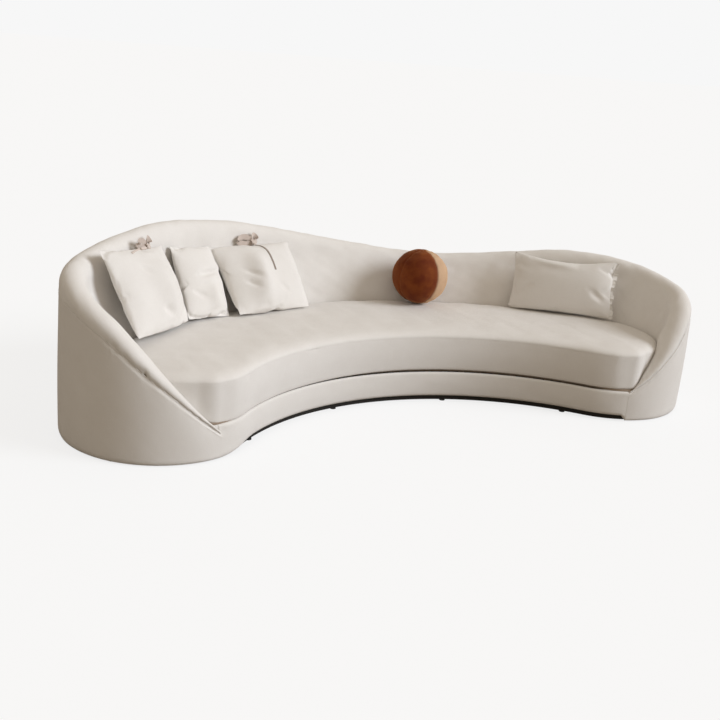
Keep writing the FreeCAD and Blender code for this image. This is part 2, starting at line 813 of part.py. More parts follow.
def seat_form(skin):
    """The crowned seat cushion, rounded less at its back, and smaller all round by a skin thickness."""
    levels = []
    for share in reversed(CROWN_STEPS):
        rise = SEAT_UNDER_ROLL * (1 - crown_share(share))
        levels.append((SEAT_BOTTOM + rise, SEAT_UNDER_ROLL * share))
    wall = SEAT_THICKNESS - SEAT_UNDER_ROLL - SEAT_CROWN
    levels += [(SEAT_BOTTOM + SEAT_UNDER_ROLL + wall * step, 0.0) for step in WALL_STEPS]
    for share in CROWN_STEPS:
        fall = SEAT_CROWN * (1 - crown_share(share))
        levels.append((SEAT_TOP - fall, SEAT_CROWN_REACH * share))
    wires = []
    for z, inset in levels:
        shift = skin * (1 - 2 * (z - SEAT_BOTTOM) / SEAT_THICKNESS)
        inner = SEAT_INNER_RADIUS + SEAT_CLEARANCE + inset + skin
        outer = SEAT_OUTER_RADIUS - SEAT_CLEARANCE - inset * SEAT_BACK_SHARE - skin
        wires.append(crescent_wire(inner, outer, SEAT_SWEEP, z + shift))
    return Part.makeLoft(wires, True, False)


def seat_surface(point):
    """Height of the crowned seat under a point, or its underside where the point is off the seat.

    The level's outline through the point is found from its inset, which is the smaller root of a square.
    """
    bearing = math.atan2(point.x, point.y - ARC_CENTRE_Y)
    nearest = max(-SEAT_SWEEP, min(bearing, SEAT_SWEEP))
    away = point - from_arc_centre(SEAT_MIDDLE_RADIUS, nearest, point.z)
    half = SEAT_DEPTH / 2 - SEAT_CLEARANCE
    left = half ** 2 - away.Length ** 2
    if left < 0:
        return SEAT_BOTTOM
    back = away.dot(outward(nearest)) * (1 - SEAT_BACK_SHARE)
    both = (half * (1 + SEAT_BACK_SHARE) - back) / 2
    inset = (both - math.sqrt(both ** 2 - SEAT_BACK_SHARE * left)) / SEAT_BACK_SHARE
    return SEAT_TOP - SEAT_CROWN * (1 - crown_share(min(1.0, inset / SEAT_CROWN_REACH)))


def seat_zip():
    """Zip along the back of the seat cover, inside the seat's clearance."""
    inner = SEAT_OUTER_RADIUS - SEAT_CLEARANCE + LAYER_GAP
    half = math.radians(ZIP_HALF_ANGLE)
    bottom = SEAT_BOTTOM + ZIP_RISE
    return sector(inner, inner + ZIP_THICKNESS, -half, half, bottom, bottom + ZIP_WIDTH)


# Loose cushions


def cushion_outline(half_width, half_height, corner, bow, level):
    """Closed outline of four bowed sides and four small corner arcs."""
    cut = corner * (1 - math.sqrt(0.5))
    edges = []
    for turn in range(4):
        wide, tall = (half_width, half_height) if turn % 2 == 0 else (half_height, half_width)
        spin = FreeCAD.Rotation(Vector(0, 0, 1), 90 * turn)
        corners = [
            Vector(wide - corner, -tall, level),
            Vector(wide - cut, -tall + cut, level),
            Vector(wide, -tall + corner, level),
            Vector(wide + bow, 0, level),
            Vector(wide, tall - corner, level),
        ]
        turned = [spin.multVec(point) for point in corners]
        edges.append(arc(*turned[0:3]))
        edges.append(arc(*turned[2:5]))
    return Part.Wire(edges)


def cushion_form(size, skin):
    """A square-edged cushion with drawn-in sides and a crown on both faces."""
    width, height, thickness = size
    half_width, half_height, half_thick = width / 2 - skin, height / 2 - skin, thickness / 2 - skin
    short = min(half_width, half_height)
    wires = []
    steps = [-step for step in reversed(LENS_STEPS[1:])] + list(LENS_STEPS)
    for step in steps:
        inset = 1 - math.sqrt(1 - step ** 2)
        swell = inset * (1 - inset)
        bow = CUSHION_SIDE_SWELL * short * swell - CUSHION_DRAWN_IN * (1 - inset) ** 4
        corner = short * (CUSHION_CORNER_SHARE + CUSHION_CORNER_SWELL * swell)
        wires.append(cushion_outline(
            half_width - short * inset, half_height - short * inset, corner, bow, half_thick * step
        ))
    return Part.makeLoft(wires, True, False)


def stand(shape, bearing, radius, lean, swing, tilt):
    """Stand a cushion up: tilted in its own plane, leaned back and swung about the vertical."""
    facing = math.radians(bearing + swing)
    back = outward(facing)
    slope = math.radians(lean)
    up = Vector(0, 0, math.cos(slope)) + back * math.sin(slope)
    front = back * -math.cos(slope) + Vector(0, 0, math.sin(slope))
    across = up.cross(front)
    foot = from_arc_centre(radius, math.radians(bearing), SEAT_TOP)
    matrix = FreeCAD.Matrix(
        across.x, up.x, front.x, foot.x,
        across.y, up.y, front.y, foot.y,
        across.z, up.z, front.z, foot.z,
        0, 0, 0, 1,
    )
    stood = shape.copy()
    stood.rotate(Vector(0, 0, 0), Vector(0, 0, 1), tilt)
    stood.Placement = FreeCAD.Placement(matrix).multiply(stood.Placement)
    return stood


def settle(shapes):
    """Lower a stood cushion and its filling until the cushion just clears the seat."""
    points = shapes[0].tessellate(SETTLE_TOLERANCE)[0]
    gap = min(point.z - seat_surface(point) for point in points)
    for shape in shapes:
        shape.translate(Vector(0, 0, CUSHION_SEAT_GAP - gap))
    return shapes


# Size, bearing of the middle, its distance from the seat's back edge, lean, swing, tilt
CUSHION_PLACES = {
    "left_cushion": (LEFT_CUSHION_SIZE, -40.8, 30.0, 29.5, -5.5, -6.5),
    "middle_cushion": (MIDDLE_CUSHION_SIZE, -28.2, 2.0, 30.0, -2.0, -6.0),
    "tied_cushion": (TIED_CUSHION_SIZE, -16.4, 40.0, 39.0, 0.0, 0.5),
    "lumbar_cushion": (LUMBAR_CUSHION_SIZE, 38.0, 16.0, 19.0, 1.0, 1.0),
}
BALL_BEARING = 12.8


def loose_cushions():
    """Each loose cushion's cover and filling, stood on the seat."""
    made = {}
    for name, (size, bearing, front, lean, swing, tilt) in CUSHION_PLACES.items():
        outer = cushion_form(size, 0.0)
        lining = cushion_form(size, CUSHION_COVER_THICKNESS)
        filling = cushion_form(size, CUSHION_COVER_THICKNESS + FILLING_GAP)
        radius = SEAT_OUTER_RADIUS - front
        stood = [stand(shape, bearing, radius, lean, swing, tilt) for shape in (outer, lining, filling)]
        outer, lining, filling = settle(stood)
        made[name + "_cover"] = hollow(outer, lining)
        made[name + "_filling"] = filling
    return made


def ball_cushion():
    """Round cushion that lies on the seat against the back."""
    bearing = math.radians(BALL_BEARING)
    station = BACK_RADIUS * bearing
    knee, lean_top = lean_heights(station)
    slope = (pad_depth(station) - crest_depth(station)) / (lean_top - knee)
    back = SEAT_OUTER_RADIUS + slope * (SEAT_TOP + BALL_RADIUS - knee)
    radius = back - (BALL_RADIUS + SEAT_CLEARANCE) * math.hypot(1, slope)
    ball = Part.makeSphere(BALL_RADIUS)
    ball.translate(from_arc_centre(radius, bearing, SEAT_TOP + BALL_RADIUS))
    return settle([ball])[0]


def numbered(name, shapes):
    """Names for the solids of a set, counted from the left."""
    return {f"{name}_{number}": shape for number, shape in enumerate(shapes, 1)}


def build():
    """Every sub-part by its name."""
    parts = {
        "glides": glides(),
        "plinth_back": plinth_back(),
        "plinth_front": plinth_front(),
        "dust_cloth": dust_cloth(),
        "splice_plates": splice_plates(),
        "frame_screws": frame_screws(),
        "front_rail": front_rail(),
        "seat_rail": seat_rail(),
        "seat_webbing": seat_webbing(),
        "deck_pad": deck_pad(),
        "top_rail": top_rail(),
        "corner_blocks": corner_blocks(),
        "inner_panel": inner_panel(),
        "front_band": front_band(),
        "welt": welt(),
        "seat_cover": hollow(seat_form(0.0), seat_form(SEAT_COVER_THICKNESS)),
        "seat_foam": seat_form(SEAT_COVER_THICKNESS + LAYER_GAP),
        "seat_zip": seat_zip(),
        "ball_cushion": ball_cushion(),
    }
    parts.update(numbered("rib", ribs()))
    parts.update(numbered("back_post", back_posts()))
    parts.update(zip(("base_board_left", "base_board_middle", "base_board_right"), base_boards()))
    parts.update(zip(("arm_former_left", "arm_former_right"), arm_formers()))
    arm_left, *backs, arm_right = pads()
    parts.update({"arm_pad_left": arm_left, "arm_pad_right": arm_right})
    parts.update(numbered("back_pad", backs))
    sides = ("left_end", "back_left", "back_right", "right_end")
    parts.update(zip(("outer_cover_" + side for side in sides), outer_covers()))
    parts.update(loose_cushions())
    return parts


def main():
    """Write each sub-part to its own file."""
    os.makedirs("parts", exist_ok=True)
    for name, shape in build().items():
        shape.exportStep(os.path.join("parts", name + ".step"))
        print(f"{name}: {len(shape.Solids)} solids, valid {shape.isValid()}, {shape.Volume / 1e6:.2f} l")


main()
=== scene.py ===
"""Dresses a crescent sofa: upholstery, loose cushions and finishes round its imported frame.

Metres, +Z up, and the front faces -Y, as in the frame. A place on the plan is given by its station, the
distance along the outline from the middle of the back (to the right is positive), and by its depth, the
distance inward from the outline.
"""

import json
import logging
import math
from dataclasses import dataclass, field
from enum import Enum
from typing import Any, Sequence

import bmesh
import bpy
import numpy as np
from mathutils import Matrix, Vector
from mathutils.bvhtree import BVHTree

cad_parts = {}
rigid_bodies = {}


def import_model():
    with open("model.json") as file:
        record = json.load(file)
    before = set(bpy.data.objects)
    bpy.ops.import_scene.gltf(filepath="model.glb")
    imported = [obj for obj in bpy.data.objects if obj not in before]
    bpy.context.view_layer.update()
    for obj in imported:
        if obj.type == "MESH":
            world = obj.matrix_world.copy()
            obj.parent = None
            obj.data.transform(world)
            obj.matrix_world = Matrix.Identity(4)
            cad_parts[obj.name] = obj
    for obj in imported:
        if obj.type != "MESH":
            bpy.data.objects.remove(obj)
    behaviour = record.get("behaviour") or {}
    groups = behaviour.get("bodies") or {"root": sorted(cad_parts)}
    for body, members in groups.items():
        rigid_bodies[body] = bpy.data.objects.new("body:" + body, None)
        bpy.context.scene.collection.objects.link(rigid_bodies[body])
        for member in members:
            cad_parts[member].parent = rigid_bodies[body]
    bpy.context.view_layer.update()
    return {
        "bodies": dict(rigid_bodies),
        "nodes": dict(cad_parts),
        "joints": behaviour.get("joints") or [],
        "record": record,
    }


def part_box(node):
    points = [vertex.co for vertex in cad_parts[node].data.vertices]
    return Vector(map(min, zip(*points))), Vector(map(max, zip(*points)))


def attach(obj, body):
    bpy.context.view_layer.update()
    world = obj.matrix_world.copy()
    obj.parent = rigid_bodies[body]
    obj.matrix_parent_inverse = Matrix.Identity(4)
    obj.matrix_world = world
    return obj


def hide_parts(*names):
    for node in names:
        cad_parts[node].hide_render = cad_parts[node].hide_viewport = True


LOG = logging.getLogger("crescent_sofa")
CLOTH_UV = "cloth"
SEWN = "sewn"
SEWN_EDGE = 0.5
SEWN_CORNER = 1.5
PAINTED_SHEEN = "painted_sheen"
SHARP_ANGLE = math.radians(60.0)
TINY = 1e-9
QUARTER_TURN = (0.0, 22.5, 45.0, 67.5, 90.0)
FILL_STEPS = 24
FILLING = {
    "quality": 6,
    "mass": 0.25,
    "tension_stiffness": 25,
    "compression_stiffness": 25,
    "shear_stiffness": 12,
    "bending_stiffness": 0.8,
    "air_damping": 4,
    "use_pressure": True,
    "uniform_pressure_force": 5,
}

Colour = tuple[float, float, float, float]


class Weave(Enum):
    """Which coordinates a cloth's threads follow."""

    UV = "UV"
    OBJECT = "Object"


def srgb(red: int, green: int, blue: int) -> Colour:
    """Linear colour of an 8-bit display colour.

    Args:
        red: Red, 0 to 255.
        green: Green, 0 to 255.
        blue: Blue, 0 to 255.

    Returns:
        Linear red, green and blue, with an alpha of 1.
    """
    def channel(value: int) -> float:
        """Linear value of one channel."""
        share = value / 255
        return share / 12.92 if share <= 0.04045 else ((share + 0.055) / 1.055) ** 2.4

    return channel(red), channel(green), channel(blue), 1.0


def smooth_step(share: np.ndarray) -> np.ndarray:
    """Smooth rise from 0 to 1 over the shares 0 to 1."""
    held = np.clip(share, 0.0, 1.0)
    return held * held * (3 - 2 * held)


# Shader maths


class Value:
    """A node's output in an expression: arithmetic on it adds Math nodes."""

    def __init__(self, graph: "Graph", socket: bpy.types.NodeSocket) -> None:
        """Wrap one output socket of a graph."""
        self.graph = graph
        self.socket = socket

    def __add__(self, other: "Value | float") -> "Value":
        """Sum."""
        return self.graph.maths("ADD", self, other)

    __radd__ = __add__

    def __sub__(self, other: "Value | float") -> "Value":
        """Difference."""
        return self.graph.maths("SUBTRACT", self, other)

    def __rsub__(self, other: "Value | float") -> "Value":
        """Difference from a number."""
        return self.graph.maths("SUBTRACT", other, self)

    def __mul__(self, other: "Value | float") -> "Value":
        """Product."""
        return self.graph.maths("MULTIPLY", self, other)

    __rmul__ = __mul__


class Graph:
    """The node tree of one material, ending in a Principled shader."""

    def __init__(self, name: str) -> None:
        """Start an empty material.

        Args:
            name: The material's name.
        """
        self.material = bpy.data.materials.new(name)
        self.material.use_nodes = True
        self.tree = self.material.node_tree
        self.tree.nodes.clear()

    def node(
        self, kind: str, settings: dict[str, Any] | None = None, inputs: dict[Any, Any] | None = None
    ) -> bpy.types.Node:
        """Add any node.

        Args:
            kind: The node's type.
            settings: Its own settings, set first.
            inputs: Numbers, colours or Values for its sockets, by name or number.

        Returns:
            The new node.
        """
        made = self.tree.nodes.new(kind)
        for key, setting in (settings or {}).items():
            setattr(made, key, setting)
        for key, given in (inputs or {}).items():
            target = made.inputs[key]
            if isinstance(given, Value):
                self.tree.links.new(given.socket, target)
            else:
                target.default_value = given
        return made

    def output(self, made: bpy.types.Node, number: int = 0) -> Value:
        """One output of a node, for use in expressions."""
        return Value(self, made.outputs[number])

    def maths(self, operation: str, *terms: "Value | float") -> Value:
        """Math node on values and numbers."""
        return self.output(self.node("ShaderNodeMath", {"operation": operation}, dict(enumerate(terms))))

    def coordinates(self, weave: Weave) -> Value:
        """Coordinates in metres: the cloth's own or the object's."""
        if weave is Weave.UV:
            return self.output(self.node("ShaderNodeUVMap", {"uv_map": CLOTH_UV}))
        return self.output(self.node("ShaderNodeTexCoord"), 3)

    def stretched(self, where: Value, scale: Sequence[float]) -> Value:
        """Coordinates scaled apart along each axis."""
        mapping = self.node("ShaderNodeMapping", None, {"Vector": where, "Scale": tuple(scale)})
        return self.output(mapping)

    def noise(self, where: Value, scale: float, detail: float = 2.0) -> Value:
        """Soft noise from 0 to 1.

        Args:
            where: Coordinates.
            scale: Features in a metre.
            detail: Octaves.

        Returns:
            The noise.
        """
        made = self.node("ShaderNodeTexNoise", None, {"Vector": where, "Scale": scale, "Detail": detail})
        return self.output(made)

    def mix(self, share: Value, first: "Value | Colour", second: "Value | Colour") -> Value:
        """Colour between two colours."""
        made = self.node("ShaderNodeMix", {"data_type": "RGBA"}, {0: share, 6: first, 7: second})
        return self.output(made, 2)

    def bump(self, height: Value, distance: float, strength: float) -> Value:
        """Normal of a surface raised by a height.

        Args:
            height: Height, about 0 to 1.
            distance: How high 1 stands, in metres.
            strength: Share of it that shows.

        Returns:
            The normal.
        """
        inputs = {"Height": height, "Distance": distance, "Strength": strength}
        return self.output(self.node("ShaderNodeBump", None, inputs))

    def finish(self, inputs: dict[str, Any]) -> bpy.types.Material:
        """Close the material with its Principled shader.

        Args:
            inputs: Numbers, colours or Values for the shader.

        Returns:
            The material.
        """
        shader = self.output(self.node("ShaderNodeBsdfPrincipled", None, inputs))
        self.node("ShaderNodeOutputMaterial", None, {"Surface": shader})
        return self.material


# Finishes


@dataclass(frozen=True)
class WovenCloth:
    """Flat-woven upholstery cloth with slubs, a soft mottle, and painted shade in the gaps between its
    threads.
    """

    name: str = "ivory_weave"
    light: Colour = srgb(233, 230, 226)
    deep: Colour = srgb(217, 212, 206)
    thread: float = 0.0030
    slub_height: float = 0.0009
    sheen: float = 0.12
    sheen_roughness: float = 0.5
    specular: float = 0.25
    roughness: float = 0.84
    rough_vary: float = 0.14
    relief: float = 0.55
    thread_relief: float = 0.55
    slub_thick: float = 260.0
    slub_long: float = 24.0
    slub_deep: float = 60.0
    slub_share: float = 0.45
    mottle_scale: float = 9.0
    mottle_share: float = 0.45
    gap_shade_share: float = 0.25
    share_drop: float = 0.12

    def material(self) -> bpy.types.Material:
        """Build the cloth's nodes.

        Returns:
            The material.
        """
        graph = Graph(self.name)
        where = graph.coordinates(Weave.UV)
        per_metre = math.pi / self.thread
        parts = graph.node("ShaderNodeSeparateXYZ", None, {0: where})
        across = graph.maths("ABSOLUTE", graph.maths("SINE", graph.output(parts, 0) * per_metre))
        along = graph.maths("ABSOLUTE", graph.maths("SINE", graph.output(parts, 1) * per_metre))
        checks = graph.node("ShaderNodeTexChecker", None, {"Vector": where, "Scale": 1 / self.thread})
        over = graph.output(checks, 1)
        threads = over * across + (1 - over) * along
        warp = (self.slub_thick, self.slub_long, self.slub_deep)
        weft = (self.slub_long, self.slub_thick, self.slub_deep)
        warp_slubs = graph.noise(graph.stretched(where, warp), 1.0, 1.0)
        weft_slubs = graph.noise(graph.stretched(where, weft), 1.0, 1.0)
        slubs = (warp_slubs + weft_slubs) * 0.5
        mottle = graph.noise(where, self.mottle_scale, 4.0)
        mixed = mottle * self.mottle_share + slubs * self.slub_share
        # Darker between the threads: painted shade in the gaps of the weave; the mottle and slubs are the
        # cloth's own uneven tone.
        share = mixed + (1 - threads) * self.gap_shade_share - self.share_drop
        height = threads * self.thread_relief + slubs
        return graph.finish({
            "Base Color": graph.mix(share, self.light, self.deep),
            "Roughness": self.roughness + slubs * self.rough_vary,
            "Normal": graph.bump(height, self.slub_height, self.relief),
            "Sheen Weight": self.sheen,
            "Sheen Roughness": self.sheen_roughness,
            "Specular IOR Level": self.specular,
        })


@dataclass(frozen=True)
class PileVelvet:
    """Short-pile velvet, mottled at random between a deep and a brushed colour, and paler where a painted
    sheen is laid on the gore towards the light.
    """

    name: str = "rust_velvet"
    deep: Colour = srgb(92, 31, 8)
    brushed: Colour = srgb(136, 72, 26)
    # Painted sheen: the pale colour laid over the gore that faces the key light.
    pale: Colour = srgb(202, 170, 138)
    sheen_tint: Colour = srgb(236, 178, 120)
    sheen: float = 0.42
    sheen_roughness: float = 0.35
    specular: float = 0.2
    roughness: float = 0.78
    rough_vary: float = 0.15
    relief: float = 0.5
    brush_scale: float = 16.0
    brush_gain: float = 1.5
    brush_base: float = -0.42
    pile_scale: float = 900.0
    pile_height: float = 0.0009
    pile_share: float = 0.12
    painted_sheen_share: float = 0.6

    def material(self) -> bpy.types.Material:
        """Build the velvet's nodes.

        Returns:
            The material.
        """
        graph = Graph(self.name)
        where = graph.coordinates(Weave.OBJECT)
        brushing = graph.noise(where, self.brush_scale, 3.0)
        pile = graph.noise(where, self.pile_scale, 1.0)
        stroked = graph.maths("MULTIPLY_ADD", brushing, self.brush_gain, self.brush_base)
        share = stroked + pile * self.pile_share
        plain = graph.mix(graph.maths("MAXIMUM", share, 0.0), self.deep, self.brushed)
        # Painted sheen: where this point attribute is set, the base colour turns towards the pale one.
        painted_sheen = graph.output(graph.node("ShaderNodeAttribute", {"attribute_name": PAINTED_SHEEN}), 2)
        return graph.finish({
            "Base Color": graph.mix(painted_sheen * (brushing * self.painted_sheen_share + self.painted_sheen_share), plain, self.pale),
            "Roughness": self.roughness + pile * self.rough_vary,
            "Normal": graph.bump(pile + brushing, self.pile_height, self.relief),
            "Sheen Weight": self.sheen,
            "Sheen Roughness": self.sheen_roughness,
            "Sheen Tint": self.sheen_tint,
            "Specular IOR Level": self.specular,
        })


@dataclass(frozen=True)
class GrainedWood:
    """Wood with a long grain: a stain or bare plywood."""

    name: str
    light: Colour
    dark: Colour
    roughness: float
    grain: tuple[float, float, float] = (9.0, 9.0, 160.0)
    grain_gain: float = 1.3
    grain_drop: float = 0.15
    rough_vary: float = 0.18
    streak_relief: float = 0.6
    pore_relief: float = 0.4
    pore_scale: float = 420.0
    depth: float = 0.0006
    relief: float = 0.4
    specular: float = 0.35

    def material(self) -> bpy.types.Material:
        """Build the wood's nodes.

        Returns:
            The material.
        """
        graph = Graph(self.name)
        where = graph.coordinates(Weave.OBJECT)
        streaks = graph.noise(graph.stretched(where, self.grain), 1.0, 4.0)
        pores = graph.noise(where, self.pore_scale, 1.0)
        height = streaks * self.streak_relief + pores * self.pore_relief
        return graph.finish({
            "Base Color": graph.mix(streaks * self.grain_gain - self.grain_drop, self.dark, self.light),
            "Roughness": self.roughness + streaks * self.rough_vary,
            "Normal": graph.bump(height, self.depth, self.relief),
            "Specular IOR Level": self.specular,
        })


@dataclass(frozen=True)
class FlatFinish:
    """Moulded, plated or felted stuff: one colour with a fine uneven grain."""

    name: str
    light: Colour
    dark: Colour
    roughness: float
    metallic: float = 0.0
    grain: float = 260.0
    depth: float = 0.0005
    relief: float = 0.5
    broad_step: float = 12.0
    fine_share: float = 0.6
    broad_share: float = 0.4
    rough_vary: float = 0.2

    def material(self) -> bpy.types.Material:
        """Build the nodes.

        Returns:
            The material.
        """
        graph = Graph(self.name)
        where = graph.coordinates(Weave.OBJECT)
        fine = graph.noise(where, self.grain, 2.0)
        broad = graph.noise(where, self.grain / self.broad_step, 2.0)
        share = fine * self.fine_share + broad * self.broad_share
        return graph.finish({
            "Base Color": graph.mix(share, self.dark, self.light),
            "Roughness": self.roughness + broad * self.rough_vary,
            "Metallic": self.metallic,
            "Normal": graph.bump(fine, self.depth, self.relief),
        })


@dataclass
class Finishes:
    """Every finish of the sofa, built once."""

    cloth: bpy.types.Material = field(init=False)
    tape: bpy.types.Material = field(init=False)
    thread: bpy.types.Material = field(init=False)
    velvet: bpy.types.Material = field(init=False)
    stain: bpy.types.Material = field(init=False)
    ply: bpy.types.Material = field(init=False)
    lining: bpy.types.Material = field(init=False)
    decking: bpy.types.Material = field(init=False)
    ribbon: bpy.types.Material = field(init=False)
    strap: bpy.types.Material = field(init=False)
    nylon: bpy.types.Material = field(init=False)
    glide: bpy.types.Material = field(init=False)
    steel: bpy.types.Material = field(init=False)

    def __post_init__(self) -> None:
        """Build the materials."""
        finishes = {
            "cloth": WovenCloth(),
            "tape": WovenCloth("taupe_tape", srgb(160, 148, 138), srgb(128, 116, 108), 0.0016, 0.0005),
            "thread": FlatFinish("sewing_thread", srgb(228, 225, 219), srgb(210, 206, 199), 0.7, grain=900.0),
            "velvet": PileVelvet(),
            "stain": GrainedWood("black_stain", srgb(44, 41, 38), srgb(20, 18, 17), 0.45),
            "ply": GrainedWood("birch_ply", srgb(222, 194, 150), srgb(188, 152, 106), 0.55),
            "lining": FlatFinish("black_lining", srgb(46, 42, 39), srgb(24, 21, 19), 0.8),
            "decking": WovenCloth("deck_cloth", srgb(168, 152, 136), srgb(142, 126, 110), 0.0020, 0.0005),
            "ribbon": WovenCloth("rose_ribbon", srgb(212, 199, 189), srgb(190, 175, 165), 0.0016, 0.0005),
            "strap": WovenCloth("elastic_strap", srgb(66, 56, 48), srgb(40, 33, 28), 0.0024, 0.0006),
            "nylon": FlatFinish("moulded_nylon", srgb(228, 226, 221), srgb(208, 205, 199), 0.5),
            "glide": FlatFinish("black_nylon", srgb(40, 38, 36), srgb(26, 24, 23), 0.5),
            "steel": FlatFinish("zinc_plate", srgb(196, 196, 192), srgb(160, 160, 156), 0.3, 1.0),
        }
        for name, finish in finishes.items():
            setattr(self, name, finish.material())


# Plan and rim of the sofa


@dataclass(frozen=True)
class CrescentPlan:
    """Plan of the sofa: two arcs about one centre, closed by round ends."""

    front_radius: float = 1.318
    body_depth: float = 0.904
    sweep_angle: float = 47.0
    left_tip_angle: float = 24.0
    right_tip_angle: float = 31.0

    @property
    def sweep(self) -> float:
        """Half angle of the arcs, in radians."""
        return math.radians(self.sweep_angle)

    @property
    def back_radius(self) -> float:
        """Radius of the outer arc."""
        return self.front_radius + self.body_depth

    @property
    def end_radius(self) -> float:
        """Radius of a round end."""
        return self.body_depth / 2

    @property
    def middle_radius(self) -> float:
        """Radius of the arc that the ends' centres lie on."""
        return self.front_radius + self.end_radius

    @property
    def centre_y(self) -> float:
        """Place of the arcs' centre along Y."""
        return -(self.middle_radius * math.cos(self.sweep) - self.end_radius + self.back_radius) / 2

    @property
    def back_half(self) -> float:
        """Half length of the back."""
        return self.back_radius * self.sweep

    @property
    def end_length(self) -> float:
        """Length of the outline round one end."""
        return self.end_radius * math.pi

    @property
    def length(self) -> float:
        """Length of the whole outline."""
        return 2 * (self.back_half + self.end_length + self.front_radius * self.sweep)

    @property
    def left_tip(self) -> float:
        """Station of the left arm's tip."""
        return -self.end_station(self.left_tip_angle)

    @property
    def right_tip(self) -> float:
        """Station of the right arm's tip."""
        return self.end_station(self.right_tip_angle)

    def wrapped(self, station: np.ndarray) -> np.ndarray:
        """Stations brought within half the outline's length of the middle of the back."""
        half = self.length / 2
        return (station + half) % self.length - half

    def past_tip(self, station: np.ndarray) -> np.ndarray:
        """How far stations lie past their arm's tip towards the front; less than 0 on the arms and back."""
        wrapped = self.wrapped(station)
        return np.where(wrapped < 0, self.left_tip - wrapped, wrapped - self.right_tip)

    def end_station(self, angle: float) -> float:
        """Station on the right end, from its angle round the end from the front edge in degrees."""
        return self.back_half + self.end_radius * math.radians(180 - angle)

    def arc_point(self, radius: np.ndarray, bearing: np.ndarray) -> np.ndarray:
        """Plan points at radii and bearings about the arcs' centre."""
        return np.stack([radius * np.sin(bearing), self.centre_y + radius * np.cos(bearing)], axis=-1)

    def place(self, station: np.ndarray, depth: np.ndarray) -> np.ndarray:
        """Plan points at stations and depths.

        Args:
            station: Stations along the outline.
            depth: Depths inside it, of the same shape.

        Returns:
            X and Y of each point, in the last axis.
        """
        wrapped = self.wrapped(station)
        along = np.abs(wrapped)
        back = self.arc_point(self.back_radius - depth, along / self.back_radius)
        past_back = along - self.back_half
        turn = self.sweep + past_back / self.end_radius
        end_centre = self.arc_point(np.float64(self.middle_radius), np.float64(self.sweep))
        spoke = np.stack([np.sin(turn), np.cos(turn)], axis=-1)
        end = end_centre + spoke * (self.end_radius - depth)[..., None]
        front_bearing = self.sweep - (past_back - self.end_length) / self.front_radius
        front = self.arc_point(self.front_radius + depth, front_bearing)
        on_back = (past_back <= 0)[..., None]
        on_end = (past_back <= self.end_length)[..., None]
        points = np.where(on_back, back, np.where(on_end, end, front))
        points[..., 0] *= np.where(wrapped < 0, -1.0, 1.0)
        return points

    def find(self, points: np.ndarray) -> tuple[np.ndarray, np.ndarray]:
        """Stations and depths of plan points that lie nearer the back and ends than the front.

        Args:
            points: X and Y in the last axis.

        Returns:
            Stations and depths.
        """
        across = np.abs(points[..., 0])
        along = points[..., 1] - self.centre_y
        bearing = np.arctan2(across, along)
        end_centre = self.arc_point(np.float64(self.middle_radius), np.float64(self.sweep))
        from_end_x = across - end_centre[0]
        from_end_y = points[..., 1] - end_centre[1]
        turn = np.arctan2(from_end_x, from_end_y) - self.sweep
        turn = (turn + math.pi) % (2 * math.pi) - math.pi
        on_back = bearing <= self.sweep
        station = np.where(on_back, self.back_radius * bearing, self.back_half + self.end_radius * turn)
        back_depth = self.back_radius - np.hypot(across, along)
        end_depth = self.end_radius - np.hypot(from_end_x, from_end_y)
        return np.copysign(station, points[..., 0]), np.where(on_back, back_depth, end_depth)


@dataclass(frozen=True)
class RimLine:
    """Height of the rim's crest along the outline: a smooth curve through a few points."""

    plan: CrescentPlan
    left_tip_height: float = 0.134
    right_tip_height: float = 0.172
    left_arm: float = 0.645
    right_arm: float = 0.614
    arm_angle: float = 98.0
    left_corner: float = 0.751
    right_corner: float = 0.678
    corner_angle: float = 140.0
    left_shoulder: float = 0.874
    left_shoulder_reach: float = 1.142
    dip: float = 0.652
    dip_reach: float = 0.655
    right_shoulder: float = 0.743
    right_shoulder_reach: float = 1.593

    def knots(self) -> tuple[np.ndarray, np.ndarray, np.ndarray]:
        """Stations, heights and slopes of the points that the rim goes through."""
        arm = self.plan.end_station(self.arm_angle)
        corner = self.plan.end_station(self.corner_angle)
        stations = np.array([
            self.plan.left_tip, -arm, -corner, -self.left_shoulder_reach, self.dip_reach,
            self.right_shoulder_reach, corner, arm, self.plan.right_tip,
        ])
        heights = np.array([
            self.left_tip_height, self.left_arm, self.left_corner, self.left_shoulder, self.dip,
            self.right_shoulder, self.right_corner, self.right_arm, self.right_tip_height,
        ])
        rises = np.diff(heights) / np.diff(stations)
        before, after = rises[:-1], rises[1:]
        total = np.where(before * after > 0, before + after, 1.0)
        inner = np.where(before * after > 0, 2 * before * after / total, 0.0)
        return stations, heights, np.concatenate([rises[:1], inner, rises[-1:]])

    def height(self, station: np.ndarray) -> np.ndarray:
        """Heights of the crest at stations."""
        stations, heights, slopes = self.knots()
        number = np.clip(np.searchsorted(stations, station) - 1, 0, len(stations) - 2)
        span = stations[number + 1] - stations[number]
        share = (station - stations[number]) / span
        square, cube = share ** 2, share ** 3
        return (
            heights[number] * (2 * cube - 3 * square + 1)
            + heights[number + 1] * (3 * square - 2 * cube)
            + span * slopes[number] * (cube - 2 * square + share)
            + span * slopes[number + 1] * (cube - square)
        )


